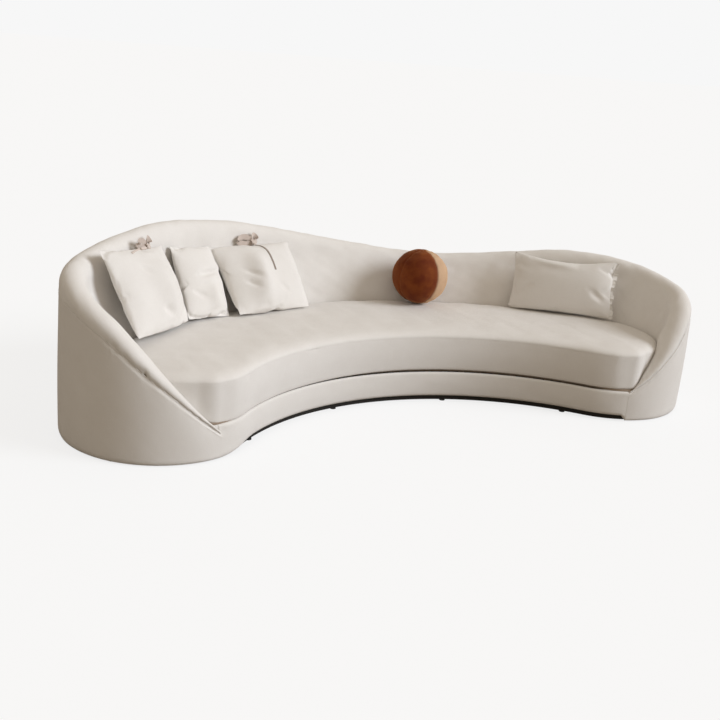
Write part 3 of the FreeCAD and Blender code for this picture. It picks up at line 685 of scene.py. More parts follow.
@dataclass(frozen=True)
class SeatPlan:
    """Pocket that the seat lies in, and the crown of the seat."""

    plan: CrescentPlan
    bottom: float
    top: float
    setback: float = -0.002
    depth: float = 0.666
    end_shift: float = 0.020
    clearance: float = 0.004
    crown: float = 0.044
    crown_reach: float = 0.150
    crown_power: float = 2.5
    back_share: float = 0.3
    spine_steps: int = 76
    taper_length: float = 0.110
    tip_depth: float = 0.010

    @property
    def middle_radius(self) -> float:
        """Radius of the seat's middle line."""
        return self.plan.front_radius + self.setback + self.depth / 2

    @property
    def sweep(self) -> float:
        """Half angle of the seat's middle line."""
        return self.plan.sweep - self.end_shift / self.middle_radius

    def pad_depth(self, station: np.ndarray) -> np.ndarray:
        """Depth of the pad between the outline and the seat: it thins to the arms' tips.

        Args:
            station: Stations of the back and ends.

        Returns:
            Depths.
        """
        along = np.abs(station)
        zero = np.zeros_like(along)
        edge = self.plan.place(along, zero)
        inward = self.plan.place(along, zero + 1.0) - edge
        centre = self.plan.arc_point(np.float64(self.middle_radius), np.float64(self.sweep))
        towards = centre - edge
        reach = np.sum(towards * inward, axis=-1)
        across = np.sum(towards ** 2, axis=-1) - reach ** 2
        round_end = reach - np.sqrt(np.maximum((self.depth / 2) ** 2 - across, 0.0))
        straight = self.plan.back_radius - self.middle_radius - self.depth / 2
        whole = np.where(along <= self.plan.back_radius * self.sweep, straight, round_end)
        share = smooth_step(-self.plan.past_tip(station) / self.taper_length)
        return self.tip_depth + (whole - self.tip_depth) * share

    def edge_depth(self, station: np.ndarray) -> np.ndarray:
        """Depth of the seat's edge all round: beside the pads, and flush with the front."""
        past = self.plan.past_tip(station)
        held = np.clip(self.plan.wrapped(station), self.plan.left_tip, self.plan.right_tip)
        beside = self.pad_depth(held) + self.clearance
        flush = self.clearance + self.setback
        share = smooth_step(past / self.taper_length)
        return beside * (1 - share) + flush * share

    def bearing(self, points: np.ndarray) -> np.ndarray:
        """Bearings of plan points about the arcs' centre."""
        return np.arctan2(points[..., 0], points[..., 1] - self.plan.centre_y)

    def spine(self, points: np.ndarray) -> np.ndarray:
        """Points of the middle line across from an edge, on even steps so that both edges share them."""
        step = self.sweep / self.spine_steps
        steps = np.clip(self.bearing(points) / step, -self.spine_steps, self.spine_steps)
        held = np.rint(steps) * step
        return self.plan.arc_point(np.full_like(held, self.middle_radius), held)

    def rise(self, inset: np.ndarray) -> np.ndarray:
        """Height of the crowned top over the seam at its edge, at a distance in from the edge."""
        share = np.clip(inset / self.crown_reach, 0.0, 1.0)
        return self.crown * (1 - (1 - share) ** self.crown_power) ** (1 / self.crown_power)

    def round_share(self, station: np.ndarray) -> np.ndarray:
        """Share of the crown's reach at stations of the edge: whole at the front, short at the back."""
        along = np.abs(self.plan.wrapped(station))
        past = smooth_step((along - self.plan.back_half) / self.plan.end_length)
        return self.back_share + (1 - self.back_share) * past

    def surface(self, points: np.ndarray) -> np.ndarray:
        """Height of the seat under plan points, from the inset of the level line through each.

        Args:
            points: Places in plan.

        Returns:
            Heights of the crowned top.
        """
        held = np.clip(self.bearing(points), -self.sweep, self.sweep)
        away = points - self.plan.arc_point(np.full_like(held, self.middle_radius), held)
        outward = np.stack([np.sin(held), np.cos(held)], axis=-1)
        half = self.depth / 2 - self.clearance
        left = np.maximum(half ** 2 - np.sum(away ** 2, axis=-1), 0.0)
        back = np.sum(away * outward, axis=-1) * (1 - self.back_share)
        both = (half * (1 + self.back_share) - back) / 2
        root = np.sqrt(np.maximum(both ** 2 - self.back_share * left, 0.0))
        return self.top - self.crown + self.rise((both - root) / self.back_share)


@dataclass(frozen=True)
class Waves:
    """Soft uneven waves over two coordinates, the same on every run."""

    seed: int
    longest: float
    height: float = 1.0
    count: int = 9
    shortest_share: float = 0.3

    def at(self, first: np.ndarray, second: np.ndarray) -> np.ndarray:
        """How far the waves stand up or down, mostly within their height.

        Args:
            first: One coordinate.
            second: The other.

        Returns:
            Heights.
        """
        draw = np.random.default_rng(self.seed)
        total = np.zeros(np.broadcast(first, second).shape)
        for _ in range(self.count):
            length = self.longest * draw.uniform(self.shortest_share, 1.0)
            turn, phase = draw.uniform(0, 2 * math.pi, 2)
            along = first * math.cos(turn) + second * math.sin(turn)
            total += np.sin(2 * math.pi * along / length + phase)
        return total / math.sqrt(self.count) * self.height


# Mesh helpers


def linked(name: str, data: bpy.types.ID) -> bpy.types.Object:
    """Object of some data, linked into the scene."""
    made = bpy.data.objects.new(name, data)
    bpy.context.scene.collection.objects.link(made)
    return made


def places_of(mesh: bpy.types.Mesh) -> np.ndarray:
    """Places of a mesh's points."""
    places = np.empty(len(mesh.vertices) * 3, dtype=np.float32)
    mesh.vertices.foreach_get("co", places)
    return places.reshape(-1, 3)


def smooth_object(name: str, mesh: bpy.types.Mesh, material: bpy.types.Material) -> bpy.types.Object:
    """Object of a smooth-shaded mesh, linked into the scene.

    Args:
        name: The piece's name.
        mesh: Its mesh.
        material: Its finish.

    Returns:
        The object.
    """
    mesh.materials.clear()
    mesh.materials.append(material)
    mesh.polygons.foreach_set("use_smooth", np.ones(len(mesh.polygons), dtype=bool))
    mesh.set_sharp_from_angle(angle=SHARP_ANGLE)
    LOG.info("%s: %d faces", name, len(mesh.polygons))
    return linked(name, mesh)


def close_mesh(mesh: bpy.types.Mesh, merge: float = 1e-6) -> None:
    """Merge a mesh's doubled points and turn its faces outward."""
    work = bmesh.new()
    work.from_mesh(mesh)
    bmesh.ops.remove_doubles(work, verts=work.verts, dist=merge)
    bmesh.ops.dissolve_degenerate(work, edges=work.edges, dist=merge)
    bmesh.ops.recalc_face_normals(work, faces=work.faces)
    work.to_mesh(mesh)
    work.free()


def grid_mesh(name: str, points: np.ndarray, uvs: np.ndarray, capped: bool = True) -> bpy.types.Mesh:
    """Closed mesh from rows of points, where each row is a ring.

    Args:
        name: The mesh's name.
        points: Rows by columns by X, Y and Z.
        uvs: Cloth coordinates in metres, with one column more than the points.
        capped: Close the first and the last ring with a face.

    Returns:
        The mesh, with its faces outward.
    """
    rows, columns = points.shape[:2]
    row, column = np.meshgrid(np.arange(rows - 1), np.arange(columns), indexing="ij")
    after = (column + 1) % columns
    here, below = row * columns, (row + 1) * columns
    quads = np.stack([here + column, here + after, below + after, below + column], axis=-1).reshape(-1, 4)
    corners = np.stack([
        uvs[row, column], uvs[row, column + 1], uvs[row + 1, column + 1], uvs[row + 1, column],
    ], axis=-2).reshape(-1, 2)
    faces = quads.tolist()
    if capped:
        first = np.arange(columns)
        last = first + (rows - 1) * columns
        faces += [first[::-1].tolist(), last.tolist()]
        corners = np.concatenate([corners, uvs[0, :columns][::-1], uvs[-1, :columns]])
    mesh = bpy.data.meshes.new(name)
    mesh.from_pydata(points.reshape(-1, 3).tolist(), [], faces)
    layer = mesh.uv_layers.new(name=CLOTH_UV)
    layer.uv.foreach_set("vector", corners.astype(np.float32).ravel())
    close_mesh(mesh)
    return mesh


def lengths_along(points: np.ndarray) -> np.ndarray:
    """Distance along each row of points, with a last entry back to the first point."""
    closed = np.concatenate([points, points[..., :1, :]], axis=-2)
    steps = np.linalg.norm(np.diff(closed, axis=-2), axis=-1)
    return np.concatenate([np.zeros(steps.shape[:-1] + (1,)), np.cumsum(steps, axis=-1)], axis=-1)


def cut_strip(along: np.ndarray, rings: np.ndarray) -> np.ndarray:
    """Cloth coordinates of a strip: along it, and round each of its rings."""
    around = lengths_along(rings)
    return np.stack([np.repeat(along[:, None], around.shape[1], axis=1), around], axis=-1)


def distances(line: np.ndarray) -> np.ndarray:
    """Distance of each point along an open line."""
    steps = np.linalg.norm(np.diff(line, axis=0), axis=1)
    return np.concatenate([[0.0], np.cumsum(steps)])


def resampled(line: np.ndarray, count: int) -> np.ndarray:
    """Evenly spaced points along an open line.

    Args:
        line: Points of the line.
        count: How many points to return.

    Returns:
        The points.
    """
    along = distances(line)
    wanted = np.linspace(0.0, along[-1], count)
    return np.stack([np.interp(wanted, along, line[:, axis]) for axis in range(line.shape[1])], axis=1)


def softened(lines: np.ndarray, rounds: int) -> np.ndarray:
    """Lines with their corners smoothed and their ends held.

    Args:
        lines: Points in the axis before the last.
        rounds: How often to average with the neighbours.

    Returns:
        The softened lines.
    """
    soft = lines.copy()
    for _ in range(rounds):
        soft[..., 1:-1, :] = (soft[..., :-2, :] + 2 * soft[..., 1:-1, :] + soft[..., 2:, :]) / 4
    return soft


def by_station(pairs: Sequence[tuple[np.ndarray, np.ndarray]]) -> np.ndarray:
    """Stations by points by depth and height, from the depths and heights of each point."""
    return np.stack([np.stack(pair, axis=-1) for pair in pairs], axis=1)


def rounded(corners: Sequence[tuple[np.ndarray, np.ndarray]], count: int, rounds: int) -> np.ndarray:
    """Evenly spaced and softened lines past corners.

    Args:
        corners: Depths and heights of each corner, by station.
        count: Points of each line.
        rounds: How often to average with the neighbours.

    Returns:
        Stations by points by depth and height.
    """
    return softened(np.stack([resampled(line, count) for line in by_station(corners)]), rounds)


def flowing(points: Sequence[Sequence[float]], count: int) -> np.ndarray:
    """Smooth line through a few points.

    Args:
        points: The points to pass through.
        count: How many points to return.

    Returns:
        Points along the line.
    """
    knots = np.asarray(points, dtype=float)
    padded = np.concatenate([2 * knots[:1] - knots[1:2], knots, 2 * knots[-1:] - knots[-2:-1]])
    share = np.linspace(0.0, len(knots) - 1 - TINY, count)
    number = share.astype(int)
    step = (share - number)[:, None]
    before, start, end, after = (padded[number + offset] for offset in range(4))
    return 0.5 * (
        2 * start
        + (end - before) * step
        + (2 * before - 5 * start + 4 * end - after) * step ** 2
        + (3 * start - before - 3 * end + after) * step ** 3
    )


# Upholstery on the frame


@dataclass
class BackUpholstery:
    """Padded back and arms with the rolled rim, the welt, the outer shell and the front band."""

    plan: CrescentPlan
    rim: RimLine
    seat: SeatPlan
    finishes: Finishes
    base: float = 0.068
    lean_angle: float = 24.0
    lean_below_seat: float = 0.030
    lean_step: float = 0.004
    rim_depth: float = 0.120
    roll_radius: float = 0.056
    roll_drop: float = 0.078
    thin_drop: float = 0.0085
    thin_share: float = 0.45
    pad_back: float = 0.0595
    welt_radius: float = 0.0045
    seam_tuck: float = 0.009
    lip_share: float = 0.30
    groove_share: float = 0.9
    seam_reach: float = 0.36
    seam_fade: float = 0.30
    overhang: float = 0.005
    crown: float = 0.010
    butt_tuck: float = 0.0008
    end_lap: float = 0.006
    end_fade: float = 0.080
    shell_floor: float = 0.006
    shell_wall: float = 0.009
    least_wall: float = 0.0005
    band_top: float = 0.168
    band_wall: float = 0.010
    band_return: float = 0.060
    return_gap: float = 0.0010
    return_wall: float = 0.0030
    flange_depth: float = 0.070
    flange_fade: float = 0.200
    corner_reach: float = 0.050
    corner_depth: float = 0.006
    corner_low: float = 0.108
    corner_rise: float = 0.030
    band_floor: float = 0.034
    left_band_fall: float = 0.300
    right_band_fall: float = 0.035
    station_pitch: float = 0.013
    edge_rounds: int = 2
    seam_least: float = 0.08
    tuck_share: float = 0.2
    gather_waves: Waves = Waves(11, 0.085)
    gather_depth: float = 0.0028
    gather_reach: float = 0.032
    gather_least: float = 0.35
    gather_fade: float = 0.5
    pad_points: int = 84
    pad_rounds: int = 16
    inner_share: float = 0.6
    pad_waves: Waves = Waves(3, 0.62, 0.0022)
    pad_wave_squeeze: float = 1.4
    pad_ripples: Waves = Waves(5, 0.19, 0.0007)
    pad_ripple_squeeze: float = 2.0
    seam_held: float = 0.03
    base_held: float = 0.2
    least_slack: float = 0.1
    crest_margin: float = 0.004
    shell_points: int = 56
    shell_levels: tuple[float, ...] = (0.75, 0.5, 0.25)
    shell_hem: tuple[tuple[float, float], ...] = ((0.0, 0.012), (0.003, 0.003), (0.008, 0.0))
    shell_lining_edge: float = 0.004
    shell_bulge: float = 0.003
    shell_waves: Waves = Waves(21, 0.7, 0.0012)
    shell_wave_squeeze: float = 0.6
    shell_held: float = 0.04
    shell_gathers: float = 0.6
    gather_shift: float = 0.02
    overhang_reach: float = 0.09
    band_points: int = 40
    band_pitch: float = 0.016
    band_edge: tuple[tuple[float, float], ...] = ((0.6, 0.0005), (0.1, 0.004), (0.0, 0.012))
    band_hem: tuple[tuple[float, float], ...] = ((0.0, 0.012), (0.3, 0.003), (0.8, 0.0))
    band_lining_edge: float = 0.004
    band_lining_drop: float = 0.007
    band_bulge: float = 0.0045
    band_waves: Waves = Waves(31, 0.5, 0.0008)
    turn_steps: tuple[float, ...] = (0.002, 0.004, 0.006, 0.008)
    turn_start: float = 0.004
    turn_length: float = 0.007
    return_points: int = 12
    flange_kept: float = 0.020
    flange_close: float = 0.030
    butt_reach: float = 0.008
    welt_pitch: float = 0.011
    welt_sides: int = 10
    welt_waves: Waves = Waves(41, 0.05, 0.05)
    welt_sunk: float = 1.2
    stitch_pitch: float = 0.010
    stitch_length: float = 0.0065
    stitch_depth: float = -0.0008
    stitch_drop: float = 0.016
    face: tuple[np.ndarray, np.ndarray, np.ndarray] = field(init=False)

    def stations(self, pitch: float) -> np.ndarray:
        """Stations from tip to tip at about a pitch."""
        left, right = self.plan.left_tip, self.plan.right_tip
        return np.linspace(left, right, round((right - left) / pitch) + 1)

    def roll(self, station: np.ndarray) -> np.ndarray:
        """Radius of the rim's rolled edge."""
        return np.minimum(self.roll_radius, self.seat.pad_depth(station) * self.thin_share)

    def seam(self, station: np.ndarray) -> np.ndarray:
        """Height of the seam between the rim and the shell."""
        radius = self.roll(station)
        under_roll = radius * (self.roll_drop / self.roll_radius - 1)
        return self.rim.height(station) - radius - np.maximum(under_roll, self.thin_drop)

    def seam_show(self, station: np.ndarray) -> np.ndarray:
        """How deep the rim's seam is drawn in: wholly on the arms, little on the back."""
        near = self.plan.past_tip(station) + self.seam_reach + self.seam_fade
        return self.seam_least + (1 - self.seam_least) * smooth_step(near / self.seam_fade)

    def sections(self, station: np.ndarray, count: int) -> np.ndarray:
        """Depth and height of the pad's shown face, from under the seat over the rim to the seam.

        Args:
            station: Stations.
            count: Points across.

        Returns:
            Stations by points by depth and height.
        """
        height = self.rim.height(station)
        radius = self.roll(station)
        depth = self.seat.pad_depth(station)
        crest = np.minimum(self.rim_depth, depth)
        ceiling = height - radius
        knee = np.minimum(self.seat.top - self.lean_below_seat, ceiling - 3 * self.lean_step)
        rise = np.maximum((depth - crest) / math.tan(math.radians(self.lean_angle)), self.lean_step)
        lean_top = np.minimum(knee + rise, ceiling - self.lean_step)
        seam = self.seam(station) + self.welt_radius * self.lip_share
        foot = np.full_like(depth, self.base)
        corners = [(depth, foot), (depth, knee), (crest, lean_top), (crest, ceiling)]
        for angle in np.radians(QUARTER_TURN[1:]):
            corners.append((crest - radius * (1 - math.cos(angle)), ceiling + radius * math.sin(angle)))
        for angle in np.radians(QUARTER_TURN[::-1]):
            corners.append((radius * (1 - math.cos(angle)), ceiling + radius * math.sin(angle)))
        tuck = np.minimum(self.seam_tuck * self.seam_show(station), depth * self.tuck_share)
        corners.append((np.zeros_like(depth), seam + self.groove_share * tuck))
        corners.append((tuck, seam))
        soft = rounded(corners, count, self.pad_rounds)
        lift = (height - self.base) / (soft[..., 1].max(axis=1) - self.base)
        soft[..., 1] = self.base + (soft[..., 1] - self.base) * lift[:, None]
        share = (soft[..., 1] - knee[:, None]) / (height - knee)[:, None]
        inner = soft[..., 0] > (crest * self.inner_share)[:, None]
        swell = self.crown * np.sin(math.pi * np.clip(share, 0.0, 1.0)) * inner
        soft[..., 0] += swell * np.clip(depth / self.rim_depth, 0.0, 1.0)[:, None]
        return soft

    def puckers(self, station: np.ndarray, away: np.ndarray) -> np.ndarray:
        """Inward pull of the gathers along the rim's seam.

        Args:
            station: Stations.
            away: Distances from the seam.

        Returns:
            Depths of the gathers.
        """
        gathers = self.gather_waves.at(station, station * 0.0) ** 2
        round_end = smooth_step((np.abs(station) - self.plan.back_half) / self.gather_fade)
        tight = self.gather_least + (1 - self.gather_least) * round_end
        return self.gather_depth * gathers * tight * np.exp(-((away / self.gather_reach) ** 2))

    def pad(self) -> bpy.types.Object:
        """The padded back and arms as one piece of upholstery.

        Returns:
            The piece.
        """
        station = self.stations(self.station_pitch)
        shown = self.sections(station, self.pad_points)
        away = np.cumsum(np.linalg.norm(np.diff(shown[:, ::-1], axis=1), axis=-1), axis=1)
        away = np.concatenate([np.zeros((len(station), 1)), away], axis=1)[:, ::-1]
        across = station[:, None] + 0 * away
        loose = self.pad_waves.at(across, self.pad_wave_squeeze * away)
        fine = self.pad_ripples.at(across, self.pad_ripple_squeeze * away)
        pulled = self.puckers(station[:, None], away)
        tangent = np.gradient(shown, axis=1)
        tangent /= np.linalg.norm(tangent, axis=-1, keepdims=True)
        normal = np.stack([tangent[..., 1], -tangent[..., 0]], axis=-1)
        held = smooth_step(away / self.seam_held)
        held *= smooth_step((shown[..., 1] - self.base) / self.base_held)
        held *= np.clip(self.seat.pad_depth(station) / self.rim_depth, self.least_slack, 1.0)[:, None]
        shown = shown + normal * ((loose + fine) * held - pulled)[..., None]
        self.face = (station, shown[..., 0], shown[..., 1])
        hidden_depth = np.minimum(self.pad_back, self.seat.pad_depth(station) * self.thin_share)
        seam = shown[:, -1, 1]
        levels = (seam, 0.5 * (seam + self.base), np.full_like(seam, self.base))
        hidden = by_station([(hidden_depth, level) for level in levels])
        ring = np.concatenate([shown, hidden], axis=1)
        return self.swept("back_upholstery", station, ring, self.finishes.cloth)

    def swept(
        self, name: str, station: np.ndarray, ring: np.ndarray, material: bpy.types.Material
    ) -> bpy.types.Object:
        """Piece swept along the outline.

        Args:
            name: The piece's name.
            station: Stations.
            ring: Stations by points by depth and height, each a closed ring.
            material: Its finish.

        Returns:
            The piece.
        """
        plan = self.plan.place(np.repeat(station[:, None], ring.shape[1], axis=1), ring[..., 0])
        points = np.concatenate([plan, ring[..., 1:]], axis=-1)
        return smooth_object(name, grid_mesh(name, points, cut_strip(station, ring)), material)

    def shell(self) -> bpy.types.Object:
        """Outer cover, upright from near the floor to the seam.

        Returns:
            The piece.
        """
        station = self.stations(self.station_pitch)
        top = self.seam(station) - self.welt_radius * self.lip_share
        station[0] -= self.end_lap
        station[-1] += self.end_lap
        floor = np.full_like(top, self.shell_floor)
        tuck = self.seam_tuck * self.seam_show(station)
        none = np.zeros_like(top)
        corners = [(tuck, top), (none, top - self.groove_share * tuck)]
        corners += [(none, floor + (top - floor) * share) for share in self.shell_levels]
        corners += [(none + turned, floor + rise) for turned, rise in self.shell_hem]
        shown = rounded(corners, self.shell_points, self.edge_rounds)
        away = top[:, None] - shown[..., 1]
        bulge = self.shell_bulge * np.sin(math.pi * np.clip(away / (top - floor)[:, None], 0, 1))
        loose = self.shell_waves.at(station[:, None] + 0 * away, self.shell_wave_squeeze * away)
        held = smooth_step(away / self.shell_held)
        under = self.overhang * self.seam_show(station)[:, None] * np.exp(-away / self.overhang_reach)
        gathers = self.puckers(station[:, None] + self.gather_shift, away) * self.shell_gathers
        settled = smooth_step(-self.plan.past_tip(station) / self.end_fade)[:, None]
        shown[..., 0] += (gathers + under - bulge + loose * held) * settled
        shown[..., 0] = np.minimum(shown[..., 0], self.shell_wall - self.least_wall)
        wall, edge = none + self.shell_wall, self.shell_lining_edge
        lining = by_station([(wall + edge, floor + edge), (wall, (floor + top) / 2), (wall, top)])
        ring = np.concatenate([shown, lining], axis=1)
        return self.swept("outer_shell", station, ring, self.finishes.cloth)

    def band(self) -> bpy.types.Object:
        """Upholstered band along the front, from tip to tip.

        Returns:
            The piece.
        """
        start, end = self.plan.right_tip, self.plan.length + self.plan.left_tip
        turned_in = self.turn_start + self.turn_length
        tail = np.concatenate([self.turn_steps, np.linspace(turned_in, self.band_return, self.return_points)])
        front = np.linspace(start, end, round((end - start) / self.band_pitch) + 1)
        station = np.concatenate([start - tail[::-1], front, end + tail])
        past = np.maximum(start - station, station - end)
        behind = smooth_step((past - self.turn_start) / self.turn_length)
        pad = self.seat.pad_depth(self.plan.wrapped(station))
        inset = (behind * (pad + self.return_gap))[:, None]
        wall = self.band_wall + (self.return_wall - self.band_wall) * behind
        fall = np.minimum((station - start) / self.right_band_fall, (end - station) / self.left_band_fall)
        floor = self.shell_floor + (self.band_floor - self.shell_floor) * smooth_step(fall)
        top = np.full_like(floor, self.band_top)
        from_tip = np.maximum(np.minimum(station - start, end - station), 0.0)
        near_tip = smooth_step(1 - from_tip / self.flange_fade)
        kept = 1 - smooth_step((past - self.flange_kept) / self.flange_close)
        flange = wall + (self.flange_depth - self.band_wall) * near_tip * kept
        corners = [(flange, top)]
        corners += [(wall * share, top - drop) for share, drop in self.band_edge]
        corners += [(np.zeros_like(floor), (top + floor) / 2)]
        corners += [(wall * share, floor + rise) for share, rise in self.band_hem]
        shown = rounded(corners, self.band_points, self.edge_rounds)
        share = (shown[..., 1] - floor[:, None]) / (top - floor)[:, None]
        ends = np.exp(-np.abs(np.minimum(station - start, end - station)) / self.butt_reach)[:, None]
        loose = self.band_waves.at(station[:, None] + 0 * share, shown[..., 1])
        middle = np.sin(math.pi * np.clip(share, 0.0, 1.0))
        bulge = middle * (self.band_bulge + loose) * (1 - near_tip)[:, None]
        turned = np.maximum(inset, self.corner(station - end, shown[..., 1]))
        shown[..., 0] += turned + self.butt_tuck * ends - bulge
        edge = self.band_lining_edge
        lining = by_station([(wall, floor + edge), (wall, top - self.band_lining_drop), (flange, top - edge)])
        lining[..., 0] += np.maximum(inset, self.corner(station - end, lining[..., 1]))
        ring = np.concatenate([shown, lining], axis=1)
        return self.swept("band_cover", station, ring, self.finishes.cloth)

    def corner(self, past: np.ndarray, height: np.ndarray) -> np.ndarray:
        """How far the band's upper corner turns in before the left arm's low tip.

        Args:
            past: Distances past the tip.
            height: Heights, by station.

        Returns:
            Depths.
        """
        whole = self.corner_reach + self.turn_start + self.turn_length
        early = smooth_step((past + self.corner_reach) / whole)[:, None]
        high = smooth_step((height - self.corner_low) / self.corner_rise)
        return early * high * self.corner_depth

    def seam_line(self, pitch: float, depth: float, drop: float) -> np.ndarray:
        """Points along the rim's seam.

        Args:
            pitch: Spacing of the points.
            depth: Depth inside the outline.
            drop: Distance under the seam.

        Returns:
            The points.
        """
        station = self.stations(pitch)
        plan = self.plan.place(station, np.full_like(station, depth))
        return np.concatenate([plan, (self.seam(station) - drop)[:, None]], axis=1)

    def welt(self) -> bpy.types.Object:
        """Piping in the seam between the rim and the shell.

        Returns:
            The piece.
        """
        station = self.stations(self.welt_pitch)
        turn = np.linspace(0, 2 * math.pi, self.welt_sides, endpoint=False)
        radius = self.welt_radius * (1 + self.welt_waves.at(station, 0 * station))
        sunk = self.welt_sunk * self.welt_radius + self.seam_tuck * self.seam_show(station)
        middle = np.stack([sunk, self.seam(station)], axis=-1)
        spoke = np.stack([np.cos(turn), np.sin(turn)], axis=-1)
        ring = middle[:, None] + spoke[None] * radius[:, None, None]
        return self.swept("welt_piping", station, ring, self.finishes.cloth)

    def inner_face(self, station: np.ndarray, height: np.ndarray) -> np.ndarray:
        """Depth of the pad's seat side at stations and heights.

        Args:
            station: Stations.
            height: Heights.

        Returns:
            Depths; above the rim, a depth outside the outline.
        """
        stations, depths, heights = self.face
        pitch = stations[1] - stations[0]
        rows = np.clip(np.rint((station - stations[0]) / pitch).astype(int), 0, len(stations) - 1)
        found = np.full(station.shape, -1.0)
        for row in np.unique(rows):
            crest = int(np.argmax(heights[row]))
            mine = rows == row
            level = height[mine]
            depth = np.interp(level, heights[row, :crest], depths[row, :crest])
            found[mine] = np.where(level > heights[row, crest] - self.crest_margin, -1.0, depth)
        return found

    def build(self) -> None:
        """Build the pieces and hand them to the frame."""
        pads = ["arm_pad_left", "arm_pad_right"] + [f"back_pad_{number}" for number in range(1, 7)]
        covers = ["left_end", "back_left", "back_right", "right_end"]
        for piece, nodes, fill in (
            (self.pad(), pads, 0.9),
            (self.shell(), ["outer_cover_" + side for side in covers], 0.5),
            (self.band(), ["front_band"], 0.5),
        ):
            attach(piece, "sofa")
            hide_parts(*nodes)
        piping = self.welt()
        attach(piping, "sofa")
        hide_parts("welt")
        row = Stitches("rim_stitches", length=self.stitch_length, pitch=self.stitch_pitch)
        line = self.seam_line(self.stitch_pitch, self.stitch_depth, self.stitch_drop)
        row.build(line, self.finishes.thread, "sofa")


# Sewn detail


@dataclass
class Stitches:
    """A row of stitches along a line."""

    name: str
    length: float
    pitch: float
    thick: float = 0.0011

    def tree(self, material: bpy.types.Material) -> bpy.types.GeometryNodeTree:
        """Node tree that lays stitches along a curve.

        Args:
            material: The thread.

        Returns:
            The tree, with inputs for the pitch, the length and the thickness.
        """
        tree = bpy.data.node_groups.new(self.name, "GeometryNodeTree")
        face = tree.interface
        face.new_socket("Line", in_out="INPUT", socket_type="NodeSocketGeometry")
        for label in ("Pitch", "Length", "Thickness"):
            face.new_socket(label, in_out="INPUT", socket_type="NodeSocketFloat")
        face.new_socket("Stitches", in_out="OUTPUT", socket_type="NodeSocketGeometry")
        add = tree.nodes.new
        given, result = add("NodeGroupInput"), add("NodeGroupOutput")
        spots = add("GeometryNodeCurveToPoints")
        spots.mode = "LENGTH"
        bead = add("GeometryNodeMeshIcoSphere")
        bead.inputs["Subdivisions"].default_value = 2
        bead.inputs["Radius"].default_value = 0.5
        size = add("ShaderNodeCombineXYZ")
        lay = add("GeometryNodeInstanceOnPoints")
        solid = add("GeometryNodeRealizeInstances")
        dress = add("GeometryNodeSetMaterial")
        dress.inputs["Material"].default_value = material
        link = tree.links.new
        link(given.outputs["Line"], spots.inputs["Curve"])
        link(given.outputs["Pitch"], spots.inputs["Length"])
        link(given.outputs["Thickness"], size.inputs["X"])
        link(given.outputs["Thickness"], size.inputs["Y"])
        link(given.outputs["Length"], size.inputs["Z"])
        link(spots.outputs["Points"], lay.inputs["Points"])
        link(spots.outputs["Rotation"], lay.inputs["Rotation"])
        link(bead.outputs["Mesh"], lay.inputs["Instance"])
        link(size.outputs["Vector"], lay.inputs["Scale"])
        link(lay.outputs["Instances"], solid.inputs["Geometry"])
        link(solid.outputs["Geometry"], dress.inputs["Geometry"])
        link(dress.outputs["Geometry"], result.inputs["Stitches"])
        return tree

    def build(self, line: np.ndarray, material: bpy.types.Material, body: str) -> None:
        """Lay the stitches and hand them to the frame.

        Args:
            line: Points along the row.
            material: The thread.
            body: The body that they move with.
        """
        curve = bpy.data.curves.new(self.name + "_line", "CURVE")
        curve.dimensions = "3D"
        spline = curve.splines.new("POLY")
        spline.points.add(len(line) - 1)
        spline.points.foreach_set("co", np.column_stack([line, np.ones(len(line))]).ravel())
        guide = linked(self.name + "_line", curve)
        modifier = guide.modifiers.new("stitches", "NODES")
        modifier.node_group = self.tree(material)
        sizes = {"Pitch": self.pitch, "Length": self.length, "Thickness": self.thick}
        for socket in modifier.node_group.interface.items_tree:
            if socket.name in sizes:
                modifier[socket.identifier] = sizes[socket.name]
        ready = guide.evaluated_get(bpy.context.evaluated_depsgraph_get())
        mesh = bpy.data.meshes.new_from_object(ready)
        guide.modifiers.remove(modifier)
        bpy.data.objects.remove(guide)
        piece = smooth_object(self.name, mesh, material)
        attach(piece, body)


# Seat


class SeatPanel(Enum):
    """Which cut panel of the seat cover a row of points lies on."""

    UNDER = "under"
    WALL = "wall"
    TOP = "top"


